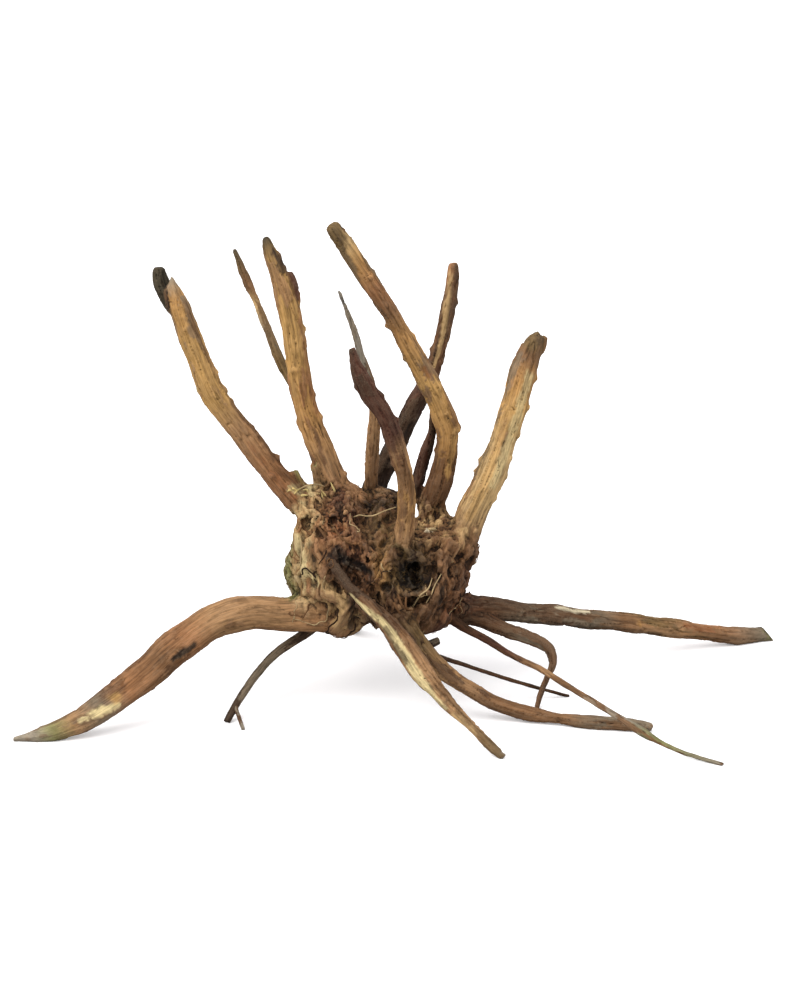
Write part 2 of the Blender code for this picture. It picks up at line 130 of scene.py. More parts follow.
@dataclass(frozen=True)
class Limb:
    """A branch, root or ridge: its route, its colours, how much bark is left, how deep its grain
    is and how much it keeps of its own colours where it crosses the ball."""

    name: str
    rows: Rows
    wood: Stops
    bark: Stops = ((0.0, BROWN),)
    cover: float = 0.4
    grain: float = 1.0
    own: float = 0.0


@dataclass(frozen=True)
class Patch:
    """A coloured place on the skin: a route whose fourth number is the patch's half width."""

    name: str
    rows: Rows
    tone: Tone
    strength: float = 0.9
    ragged: float = 0.35


@dataclass(frozen=True)
class Zone:
    """A soft region of the ball: its middle, its half sizes, its tones from dark to light, its roughness."""

    name: str
    centre: tuple[float, float, float]
    half: tuple[float, float, float]
    tones: tuple[Tone, Tone, Tone]
    rough: float = 1.0


# Each limb's route runs from inside the ball to its tip: x, y, z and radius.
BRANCHES = (
    Limb("upper_left", [
        (-44, -4, 106, 9.6), (-59, -8, 129, 9.2), (-76, -12, 151, 8.5), (-91, -16, 171, 8.0),
        (-105, -19, 192, 7.7), (-118, -22, 211, 7.8), (-127, -25, 227, 8.4), (-133, -29, 246, 7.4),
        (-140, -33, 266, 7.0), (-144, -36, 281, 6.2), (-147, -38, 293, 4.1), (-149, -39, 303, 1.6),
    ], ((0.0, BROWN), (0.3, CLAY), (0.5, TAN), (0.6, HONEY), (0.78, HONEY), (0.93, OCHRE), (1.0, GREY)),
        bark=((0.0, UMBER), (0.35, BROWN), (0.6, TAN), (1.0, GREY_BROWN)), cover=0.32),
    Limb("thin_rear", [
        (-43, 30, 127, 4.9), (-61, 44, 168, 3.9), (-73, 54, 203, 3.6), (-83, 60, 223, 3.3),
        (-92, 65, 244, 3.1), (-100, 69, 264, 3.0), (-108, 72, 282, 2.8), (-116, 75, 302, 2.5),
    ], ((0.0, BROWN), (0.4, OLIVE), (0.58, OLIVE), (0.66, GREY), (0.78, PALE_TAN), (0.85, BROWN),
        (0.94, OLIVE), (1.0, BLACKENED)),
        bark=((0.0, UMBER), (0.6, OLIVE), (0.85, BROWN), (1.0, BLACKENED)), cover=0.5),
    Limb("left_centre", [
        (-36, 2, 122, 10.4), (-42, 6, 144, 9.2), (-49, 10, 163, 8.3), (-57, 13, 180, 8.0),
        (-64, 15, 199, 7.8), (-68, 17, 218, 7.6), (-70, 18, 239, 7.7), (-73, 18, 261, 8.0),
        (-77.5, 16, 281, 6.8), (-82, 14, 297, 5.2), (-86, 13, 308, 4.0), (-90, 12, 320, 2.2),
    ], ((0.0, CLAY), (0.2, TAN), (0.4, OCHRE), (0.6, HONEY), (0.88, HONEY), (0.97, OLIVE), (1.0, BLACKENED)),
        bark=((0.0, BROWN), (0.5, CLAY), (0.9, TAN), (1.0, BLACKENED)), cover=0.28, own=0.5),
    Limb("front", [
        (-2, -31, 99, 9.5), (1, -36, 116, 8.4), (4, -41, 133, 7.1), (5, -45.5, 151, 6.2),
        (3, -52, 174, 5.6), (-3, -60, 198, 5.6), (-10, -68, 218, 6.0), (-19, -74, 233, 5.7),
        (-26, -79, 249, 4.6), (-30, -83, 265, 3.0),
    ], ((0.0, OLIVE), (0.15, TAN), (0.35, OCHRE), (0.52, TAN), (0.62, MAROON), (1.0, MAROON)),
        bark=((0.0, UMBER), (0.4, BROWN), (0.6, MAROON), (1.0, DARK)), cover=0.36),
    Limb("whip", [
        (-21, 22, 127, 5.4), (-20, 20, 145, 4.8), (-19, 18, 162, 4.5), (-18, 14, 180, 4.2),
        (-17, 9, 198, 3.9), (-20, 3, 218, 3.5), (-25.5, -3, 241, 3.0), (-29.5, -6, 258, 2.8),
        (-34.5, -9, 273, 2.6), (-40.5, -12, 289, 2.2),
    ], ((0.0, TAN), (0.45, TAN), (0.6, GREY), (1.0, SILVER)),
        bark=((0.0, BROWN), (0.6, BROWN), (0.75, GREY_BROWN), (1.0, GREY)), cover=0.35),
    Limb("rear_right", [
        (-20, 34, 124, 9.9), (-15, 38, 143, 8.8), (-5, 43, 163, 8.0), (4, 49, 180, 7.3), (12, 55, 195, 6.9),
        (21, 61, 210, 6.3), (27, 65, 226, 5.9), (32, 69, 244, 5.7), (35, 72, 261, 5.6), (38, 75, 278, 5.4),
        (38, 76, 292, 4.0),
    ], ((0.0, DARK), (0.35, DARK), (0.5, MAROON), (0.62, UMBER), (0.85, BROWN), (1.0, CLAY)),
        bark=((0.0, DARK), (0.5, DARK), (1.0, UMBER)), cover=0.5),
    Limb("tall", [
        (17, 2, 104, 10.2), (22, 6, 132, 9.4), (28, 5, 153, 8.4), (32, 1, 173, 7.6), (33, -4, 190, 7.3),
        (29, -8, 204, 7.2), (23, -13, 220, 6.9), (15, -18, 237, 6.4), (6, -23, 254, 5.9),
        (-4, -28, 273, 5.6), (-15, -33, 292, 5.6), (-26, -38, 309, 5.7), (-36, -43, 325, 5.6),
        (-44, -47, 338, 4.7),
    ], ((0.0, UMBER), (0.22, BROWN), (0.32, OCHRE), (0.5, HONEY), (0.62, OCHRE), (0.72, BROWN), (0.8, CLAY),
        (0.88, OCHRE), (0.94, PALE_TAN), (1.0, OLIVE)),
        bark=((0.0, UMBER), (0.4, BROWN), (0.7, GREY_BROWN), (1.0, OLIVE)), cover=0.36),
    Limb("right", [
        (30, -10, 94, 12.0), (42, -8, 115, 11.4), (52, -4, 136, 10.6), (62, 2, 156, 10.0),
        (71, 9, 179, 9.7), (79, 16, 202, 9.5), (85, 22, 222, 9.3), (91, 27, 238, 8.0), (95, 30, 248, 5.0),
    ], ((0.0, CLAY), (0.12, TAN), (0.3, PALE_TAN), (0.55, PALE_TAN), (0.68, HONEY), (0.8, OCHRE),
        (0.9, BROWN), (1.0, OLIVE)), bark=((0.0, BROWN), (0.4, TAN), (0.85, TAN), (1.0, UMBER)), cover=0.2),
)

SPURS = (
    Limb("blackened_fork", [
        (-143, -36, 275, 4.2), (-149, -34, 282, 4.8), (-154, -31, 291, 5.4), (-157, -29, 299, 5.6),
        (-158, -28, 307, 4.0),
    ], ((0.0, TAN), (0.3, BLACKENED), (1.0, BLACKENED)), bark=((0.0, BLACKENED),)),
    Limb("left_centre_spur", [
        (-73, 19, 262, 4.6), (-72.5, 19, 274, 4.8), (-72.5, 19, 284, 4.4), (-73.5, 19, 291, 3.2),
        (-74.5, 19, 296, 1.8),
    ], ((0.0, OCHRE), (0.4, CLAY), (0.7, RUST), (1.0, MAROON)), bark=((0.0, MAROON),), cover=0.5),
    Limb("cross_twig", [
        (10, 16, 133, 4.9), (15, 13, 157, 3.8), (19, 9, 174, 3.6), (23, 4, 190, 3.7), (25, -2, 205, 3.9),
        (27, -9, 217, 4.1),
    ], ((0.0, DARK), (0.5, MAROON), (1.0, UMBER)), bark=((0.0, DARK),), cover=0.5),
)

SPLINTERS = (
    Limb("beside_upper_left", [(-66, -8, 146, 5.5), (-71, -9, 164, 2.8)], ((0.0, CLAY), (1.0, MOSS))),
    Limb("beside_left_centre", [(-54, 1, 142, 4.2), (-58.5, 2, 163, 2.2)],
        ((0.0, PALE_TAN), (0.6, PALE_TAN), (1.0, LICHEN))),
    Limb("between", [(-60, -6, 138, 6.0), (-62, -7, 152, 3.4)], ((0.0, BROWN), (1.0, LICHEN))),
    Limb("behind_front", [(-12, -10, 128, 6.0), (-10, -12, 144, 3.2)], ((0.0, UMBER), (1.0, DARK))),
    Limb("rear", [(2, 22, 126, 6.5), (4, 25, 141, 3.0)], ((0.0, UMBER), (1.0, DARK))),
    Limb("split_tip", [(-80, 14, 295, 3.4), (-80.5, 14, 309, 1.5)], ((0.0, DARK), (1.0, DARK))),
    Limb("split_tip_side", [(-78, 14, 290, 3.4), (-76.5, 14, 301, 1.4)], ((0.0, TAN), (1.0, DARK))),
    Limb("fork_sliver", [(-150, -37, 283, 2.6), (-152, -38, 297, 1.4)], ((0.0, DARK), (1.0, DARK))),
    Limb("ragged_left", [(88, 24, 234, 4.4), (89, 26, 246, 2.2)], ((0.0, BROWN), (1.0, OLIVE))),
    Limb("ragged_top", [(93, 29, 238, 4.4), (95, 31, 251.5, 2.2)], ((0.0, OLIVE), (1.0, DARK))),
    Limb("ragged_right", [(97, 30, 236, 4.2), (101, 32, 248, 2.0)], ((0.0, TAN), (1.0, OLIVE))),
    Limb("ragged_tall", [(-39, -46, 327, 4.0), (-37, -45, 336, 1.8)], ((0.0, OLIVE), (1.0, DARK))),
)

ROOTS = (
    Limb("left", [
        (-31, -20, 61, 10.8), (-48, -22, 64, 11.8), (-65, -22, 65.5, 11.6), (-82, -23, 65, 11.3),
        (-102, -26, 67, 11.2), (-121, -31, 64, 11.4), (-139, -39, 56, 11.4), (-156, -49, 45, 11.1),
        (-173, -62, 33, 10.5), (-191, -75, 22, 9.6), (-208, -85, 13.5, 8.5), (-225, -91, 7.0, 6.6),
        (-240, -94, 3.3, 4.7), (-258, -96, 1.0, 2.2),
    ], ((0.0, CLAY), (0.2, TAN), (0.38, TAN), (0.46, CLAY), (0.56, BROWN), (0.68, CLAY), (0.76, GREY_BROWN),
        (0.83, TAN), (0.89, LICHEN), (0.94, GREY)), bark=((0.0, BROWN), (0.7, BROWN), (1.0, GREY_BROWN)),
        cover=0.2, grain=0.55),
    Limb("right", [
        (25, 0, 60, 12.5), (45, 4, 60, 9.0), (64, 10, 57.5, 7.8), (86, 20, 51.5, 7.2), (110, 32, 45.5, 7.0),
        (132, 45, 38, 6.8), (161, 60, 30, 6.7), (192, 75, 21, 6.7), (223, 88, 12.8, 6.5),
        (253, 99, 6.2, 6.2), (272, 106, 4.5, 5.8), (290, 112, 3.6, 5.4),
    ], ((0.0, MAROON), (0.12, UMBER), (0.25, GREY_BROWN), (0.42, GREY_BROWN), (0.52, BROWN), (0.66, TAN),
        (0.8, CLAY), (0.92, GREY_BROWN), (1.0, GREY)),
        bark=((0.0, DARK), (0.4, UMBER), (0.6, OLIVE), (0.8, BROWN), (1.0, GREY_BROWN)), cover=0.5),
    Limb("hooked", [
        (33, 2, 58, 7.4), (56, 0, 53, 5.7), (74, -4, 47, 5.3), (91, -9, 42.5, 4.9), (104, -13, 36.5, 4.3),
        (107, -18, 27, 3.5), (102, -25, 17, 2.5), (97, -32, 7, 2.2), (95, -38, 0.5, 2.2),
    ], ((0.0, DARK), (0.3, UMBER), (0.5, GREY_BROWN), (0.64, GREY_BROWN), (0.78, UMBER), (1.0, UMBER)),
        bark=((0.0, DARK), (0.6, UMBER), (1.0, DARK)), cover=0.45),
    Limb("lower_right", [
        (-6, -40, 80, 7.5), (2, -45, 67, 7.5), (13, -48, 52, 6.8), (25, -51, 38, 6.1), (36, -53, 29, 5.5),
        (48, -55, 21.5, 5.1), (63, -57, 13, 4.9), (82, -59, 7.0, 4.7), (105, -65, 4.6, 4.7),
        (132, -72, 4.0, 4.6), (150, -75, 3.9, 4.5), (171, -79, 3.6, 3.4),
    ], ((0.0, UMBER), (0.16, OLIVE), (0.32, TAN), (0.48, BROWN), (0.72, BROWN), (0.85, GREY_BROWN),
        (1.0, GREY_BROWN)), bark=((0.0, DARK), (0.5, UMBER), (1.0, BROWN)), cover=0.42),
    Limb("front_ridge", [
        (-46, -44, 109, 2.9), (-41, -49, 104, 3.5), (-33, -53, 94, 3.6), (-23, -56, 85, 4.4),
        (-13, -60, 74, 4.7),
    ], ((0.0, DARK), (0.5, UMBER), (1.0, BROWN)), bark=((0.0, DARK),), cover=0.6, own=0.85),
    Limb("front", [
        (-29, -42, 86, 4.4), (-20, -51, 79, 5.4), (-9, -61, 72, 6.0), (1, -71, 62, 6.3), (9, -80, 52, 6.8),
        (18, -90, 42, 6.4), (29, -99, 32, 5.2), (39, -106, 23.5, 4.3), (49, -113, 15.5, 3.9),
        (58, -119, 8.2, 3.5), (69, -127, 0.6, 2.9),
    ], ((0.0, UMBER), (0.3, BROWN), (0.6, TAN), (0.8, TAN), (1.0, GREY_BROWN)),
        bark=((0.0, DARK), (0.5, UMBER), (1.0, OLIVE)), own=0.85),
    Limb("front_under", [
        (-10, -55, 71, 3.9), (-2, -66, 61, 4.1), (5, -77, 51.5, 4.2), (12, -85, 44.5, 4.0),
        (20, -93, 37.5, 3.3),
    ], ((0.0, DARK), (0.5, UMBER), (1.0, OLIVE)), bark=((0.0, DARK),), cover=0.5, own=0.85),
    Limb("rear", [
        (-12, 26, 84, 12.0), (-17, 52, 72, 10.6), (-22, 78, 56, 9.6), (-27, 98, 36, 8.4),
        (-31, 112, 17, 7.0), (-34, 124, 3.5, 5.0), (-36, 132, 0.5, 3.2),
    ], ((0.0, UMBER), (0.4, CLAY), (0.8, BROWN), (1.0, GREY)),
        bark=((0.0, DARK), (0.6, BROWN), (1.0, GREY_BROWN)), cover=0.35),
    Limb("rear_left", [
        (-44, 20, 84, 9.5), (-54, 40, 76, 8.2), (-58, 58, 62, 6.6), (-60, 70, 46, 5.0), (-63, 78, 30, 3.8),
        (-67, 83, 18, 3.0),
    ], ((0.0, UMBER), (0.5, BROWN), (1.0, GREY)), bark=((0.0, DARK),), cover=0.35),
    Limb("rear_stub", [(20, 24, 88, 9.0), (33, 44, 84, 8.0), (42, 62, 77, 6.8)],
        ((0.0, UMBER), (0.7, BROWN), (1.0, PALE_TAN)), bark=((0.0, UMBER),), cover=0.5),
)

# Ridges that flow over the ball from the branches to the roots.
RIDGES = (
    Limb("left_outer", [
        (-70, -11, 152, 3.0), (-67, -17, 138, 5.0), (-66, -20, 121, 6.0), (-67, -22, 102, 6.0),
        (-62, -24, 80, 6.0),
    ], ((0.0, CLAY), (0.5, TAN), (1.0, TAN))),
    Limb("left_inner", [
        (-55, -8, 150, 2.5), (-56, -20, 138, 4.0), (-56, -31, 124, 5.0), (-54, -37, 107, 5.0),
        (-47, -41, 92, 4.5),
    ], ((0.0, BROWN), (0.5, CLAY), (1.0, TAN))),
    Limb("centre_left", [
        (-43, -2, 147, 2.4), (-40, -13, 140, 3.4), (-35, -24, 131, 3.6), (-27, -34, 121, 3.8),
        (-16, -40, 111, 3.8),
    ], ((0.0, CLAY), (0.5, UMBER), (1.0, MAROON))),
    Limb("centre", [(-1, -40, 117, 5.5), (-9, -44, 102, 5.0), (-6, -45, 86, 5.0), (2, -44, 68, 5.5)],
        ((0.0, BROWN), (0.4, RUST), (1.0, UMBER))),
    Limb("right", [(35, -26, 118, 6.0), (29, -36, 101, 5.5), (24, -39, 83, 5.5), (14, -38, 67, 6.0)],
        ((0.0, CLAY), (0.4, BROWN), (1.0, UMBER))),
    Limb("right_outer", [(43, -10, 116, 6.5), (42, -18, 96, 6.0), (36, -20, 78, 6.5), (26, -16, 64, 6.5)],
        ((0.0, TAN), (0.3, UMBER), (1.0, MAROON))),
    Limb("hollow_arch", [
        (-2, -42, 121, 3.4), (6, -42.5, 115, 3.8), (14, -41, 110, 3.4), (21, -37, 104, 2.6),
    ], ((0.0, OLIVE), (0.5, DARK), (1.0, BROWN))),
    Limb("right_strand", [(46, -14, 124, 3.4), (40, -24, 114, 3.4), (33, -34, 105, 3.0)],
        ((0.0, PALE_TAN), (1.0, CLAY)), bark=((0.0, TAN),), cover=0.2, own=0.6),
    Limb("right_strand_rear", [(52, -10, 122, 3.2), (48, -18, 110, 3.2), (43, -25, 98, 2.8)],
        ((0.0, TAN), (1.0, BROWN)), bark=((0.0, BROWN),), cover=0.3, own=0.5),
    Limb("cavity_sill", [(-6, -44, 89, 3.4), (6, -45, 86, 3.7), (20, -42, 88, 3.4)], ((0.0, UMBER),)),
    Limb("collar", [
        (-62, -30, 86, 4.2), (-46, -40, 86, 4.8), (-36, -41, 79, 5.0), (-37, -38, 68, 5.2),
        (-45, -30, 55, 4.8),
    ], ((0.0, BROWN), (0.4, TAN), (0.7, PALE_TAN), (1.0, CLAY))),
    Limb("collar_rear", [
        (-30, -30, 79, 6.0), (-25, -28, 69, 5.6), (-30, -24, 57, 5.0), (-36, -20, 49, 3.2),
    ], ((0.0, DARK), (0.5, BROWN), (1.0, GREY_BROWN))),
    Limb("rear_left", [(-52, 18, 128, 8.0), (-60, 22, 108, 7.0), (-56, 26, 88, 7.0), (-44, 28, 72, 7.0)],
        ((0.0, BROWN), (1.0, UMBER))),
    Limb("rear_middle", [(-24, 36, 128, 8.0), (-26, 46, 108, 7.0), (-20, 48, 90, 7.5), (-12, 42, 74, 8.0)],
        ((0.0, UMBER), (0.5, BROWN), (1.0, UMBER))),
    Limb("rear_right", [(26, 22, 116, 8.0), (31, 31, 100, 7.5), (27, 34, 84, 7.5), (18, 32, 70, 7.0)],
        ((0.0, BROWN), (1.0, UMBER))),
)

# Roots too thin for the merged skin.
THIN_ROOTS = (
    Limb("thin_left_root", [
        (-40, -10, 62, 4.6), (-54, -12, 55, 3.8), (-68, -16, 46, 3.3), (-81, -22, 39, 3.0),
        (-91, -30, 32, 2.8), (-101, -40, 22, 2.6), (-110, -52, 11, 2.4), (-117, -63, 0.8, 2.2),
    ], ((0.0, UMBER), (0.5, GREY_BROWN), (1.0, GREY_BROWN)), bark=((0.0, DARK),), cover=0.5),
    Limb("thin_left_fork", [
        (-109, -51, 12, 1.7), (-111, -56, 8, 1.6), (-109, -63, 5, 1.4), (-105, -76, 0.4, 1.2),
    ], ((0.0, GREY_BROWN), (1.0, GREY)), bark=((0.0, UMBER),)),
    Limb("long_thin_root", [
        (27, -4, 61, 4.4), (33, -8, 58.5, 3.8), (45, -14, 51.5, 2.9), (60, -24, 46.5, 2.5),
        (77, -38, 40, 2.1), (96, -52, 35, 2.0), (114, -67, 28, 1.9), (131, -82, 22, 1.9),
        (147, -97, 16.5, 2.0), (160, -107, 11, 2.9), (172, -115, 6.5, 1.6), (188, -126, 3.2, 1.4),
        (210, -138, 0.6, 1.2),
    ], ((0.0, UMBER), (0.25, MAROON), (0.4, TAN), (0.7, GREY), (0.8, LICHEN), (1.0, GREY)),
        bark=((0.0, DARK), (0.5, BROWN), (1.0, BROWN))),
    Limb("hair_root", [
        (0, -26, 60, 2.4), (9, -32, 49, 1.9), (17, -34, 41.5, 1.6), (32, -32, 35, 1.5), (48, -28, 28, 1.4),
        (70, -23, 18.5, 1.3), (91, -19, 10.5, 1.2), (106, -16, 5, 1.1), (119, -13, 0.4, 1.0),
    ], ((0.0, DARK), (1.0, UMBER)), bark=((0.0, DARK),), cover=0.5),
    Limb("short_root", [(4, -30, 54, 3.2), (11, -32, 46, 2.9), (19, -27, 43, 2.9), (27, -20, 44, 2.4)],
        ((0.0, DARK), (1.0, GREY_BROWN)), bark=((0.0, DARK),)),
)

# Lumps of the ball: the centre, and half the width, depth and height.
LUMPS = (
    ((-11, -2, 92), (48, 41, 38)),
    ((-44, -9, 100), (27, 34, 40)),
    ((-66, -5, 88), (12, 18, 21)),
    ((23, -5, 91), (26, 33, 33)),
    ((-53, -4, 126), (17, 21, 22)),
    ((-38, 3, 130), (19, 23, 21)),
    ((-12, 10, 121), (22, 26, 16)),
    ((33, -2, 106), (20, 23, 21)),
    ((8, -12, 64), (30, 28, 17)),
    ((-40, -16, 62), (17, 20, 15)),
    ((-15, 20, 130), (20, 16, 13)),
    ((-27, 28, 98), (29, 22, 32)),
    ((18, 25, 92), (24, 22, 24)),
)

# Hollows carved into the ball: the centre, the half sizes, and the turn about Y in degrees.
HOLLOWS = (
    ((8, -46, 101), (6.6, 20, 8.4), 12),
    ((12, -44, 93), (5.0, 14, 5.0), 0),
    ((-30, -46, 106), (13, 11, 3.2), 28),
    ((-9, -54, 91), (3.6, 12, 3.0), 0),
    ((-19, -46, 77), (9, 15, 4.0), 38),
    ((-59, -40, 112), (2.0, 11, 8), -12),
    ((-45, -30, 133), (3.0, 9, 4.0), 20),
    ((30, -40, 127), (6, 13, 5), 0),
    ((29, -42, 82), (1.8, 9, 8), 4),
    ((-16, -38, 136), (7, 12, 6), -20),
    ((-8, 52, 112), (8, 16, 11), 12),
    ((-44, 46, 84), (9, 14, 6), -20),
)

ZONES = (
    Zone("left_top", (-66, -14, 142), (11, 16, 14), (BROWN, PALE_TAN, STRAW), 0.8),
    Zone("left_band", (-66, -24, 112), (10, 18, 26), (CLAY, PALE_TAN, STRAW), 0.7),
    Zone("left_edge", (-76, -6, 96), (8, 18, 28), (MOSS, LICHEN, GREY), 0.7),
    Zone("flaked_left", (-48, -28, 128), (11, 18, 20), (DARK, RUST, TAN), 1.4),
    Zone("flaked_top", (-38, -12, 142), (11, 12, 12), (DEEP_SHADE, MAROON, TAN), 1.4),
    Zone("dark_middle_left", (-34, -42, 108), (17, 14, 17), (DEEP_SHADE, MAROON, CLAY), 1.35),
    # Painted shade: the recess between the branches behind the top of the ball, near-black.
    Zone("shaded_recess_top", (-17, 10, 143), (21, 21, 12), (DEEP_SHADE, DEEP_SHADE, UMBER), 1.4),
    Zone("soft_centre", (-8, -32, 128), (13, 16, 15), (UMBER, OLIVE, BROWN), 0.35),
    Zone("ochre_streak", (-12, -46, 108), (5, 10, 12), (UMBER, OCHRE, HONEY), 0.6),
    Zone("green_rim", (5, -44, 115), (12, 12, 9), (DEEP_SHADE, DARK, OLIVE), 1.2),
    Zone("hollow_rim", (8, -38, 97), (16, 16, 16), (DEEP_SHADE, BLACKENED, OLIVE), 0.9),
    Zone("right_top", (26, -18, 126), (16, 16, 11), (UMBER, BROWN, PALE_TAN), 0.9),
    Zone("right_side", (34, -30, 98), (16, 20, 20), (DARK, UMBER, CLAY), 0.9),
    Zone("right_rim", (48, -6, 100), (8, 22, 22), (DARK, MAROON, UMBER), 0.8),
    Zone("under_hollow", (4, -46, 78), (16, 14, 9), (DARK, UMBER, TAN), 1.2),
    Zone("low_middle", (8, -38, 66), (18, 16, 9), (DARK, UMBER, GREY_BROWN), 0.8),
    Zone("low_right", (32, -26, 68), (16, 16, 12), (DARK, UMBER, RUST), 0.8),
    Zone("collar", (-46, -34, 74), (12, 14, 14), (BROWN, TAN, PALE_TAN), 0.45),
    Zone("rear_top", (-20, 30, 118), (34, 20, 20), (DARK, UMBER, TAN), 1.0),
    Zone("rear_low", (-20, 40, 82), (38, 20, 20), (DEEP_SHADE, UMBER, BROWN), 1.0),
)

# Buds and broken twigs: the height on the branch, the direction round it (0 is to the right, 90 to
# the rear), how far it reaches past the bark, and its radius.
BUDS = {
    "upper_left": [
        (217, 0, 2.6, 2.8), (224, 170, 2.4, 3.2), (209, 10, 2.0, 2.2), (190, 0, 2.0, 2.2),
        (166, 15, 4.0, 3.2), (150, 60, 3.0, 2.6), (137, 200, 2.0, 3.0),
    ],
    "left_centre": [
        (206, 0, 2.4, 2.4), (189, 0, 2.4, 2.4), (191, 180, 2.2, 2.4), (160, 180, 5.0, 3.6),
        (146, 190, 5.0, 4.0), (232, 200, 2.0, 2.2), (252, 20, 2.0, 2.6),
    ],
    "tall": [(268, 190, 3.4, 2.6), (246, 200, 2.4, 2.4), (300, 20, 1.8, 2.2), (190, -20, 2.6, 3.0)],
    "front": [(238, 180, 1.8, 2.2), (226, 20, 2.0, 2.4), (180, 190, 1.8, 2.2)],
    "right": [
        (160, 180, 2.4, 2.4), (152, 185, 2.4, 2.2), (220, 0, 2.4, 2.4), (201, -10, 2.6, 2.2),
        (183, 0, 2.4, 2.2), (167, -10, 2.4, 2.2), (157, 5, 2.4, 2.2), (142, 0, 2.2, 2.4),
    ],
    "rear_right": [(262, 0, 1.8, 2.2), (228, 180, 2.0, 2.2), (203, 30, 2.0, 2.4)],
    "whip": [(236, 200, 1.6, 1.8), (216, 190, 2.0, 2.0), (206, 170, 1.8, 1.8)],
}

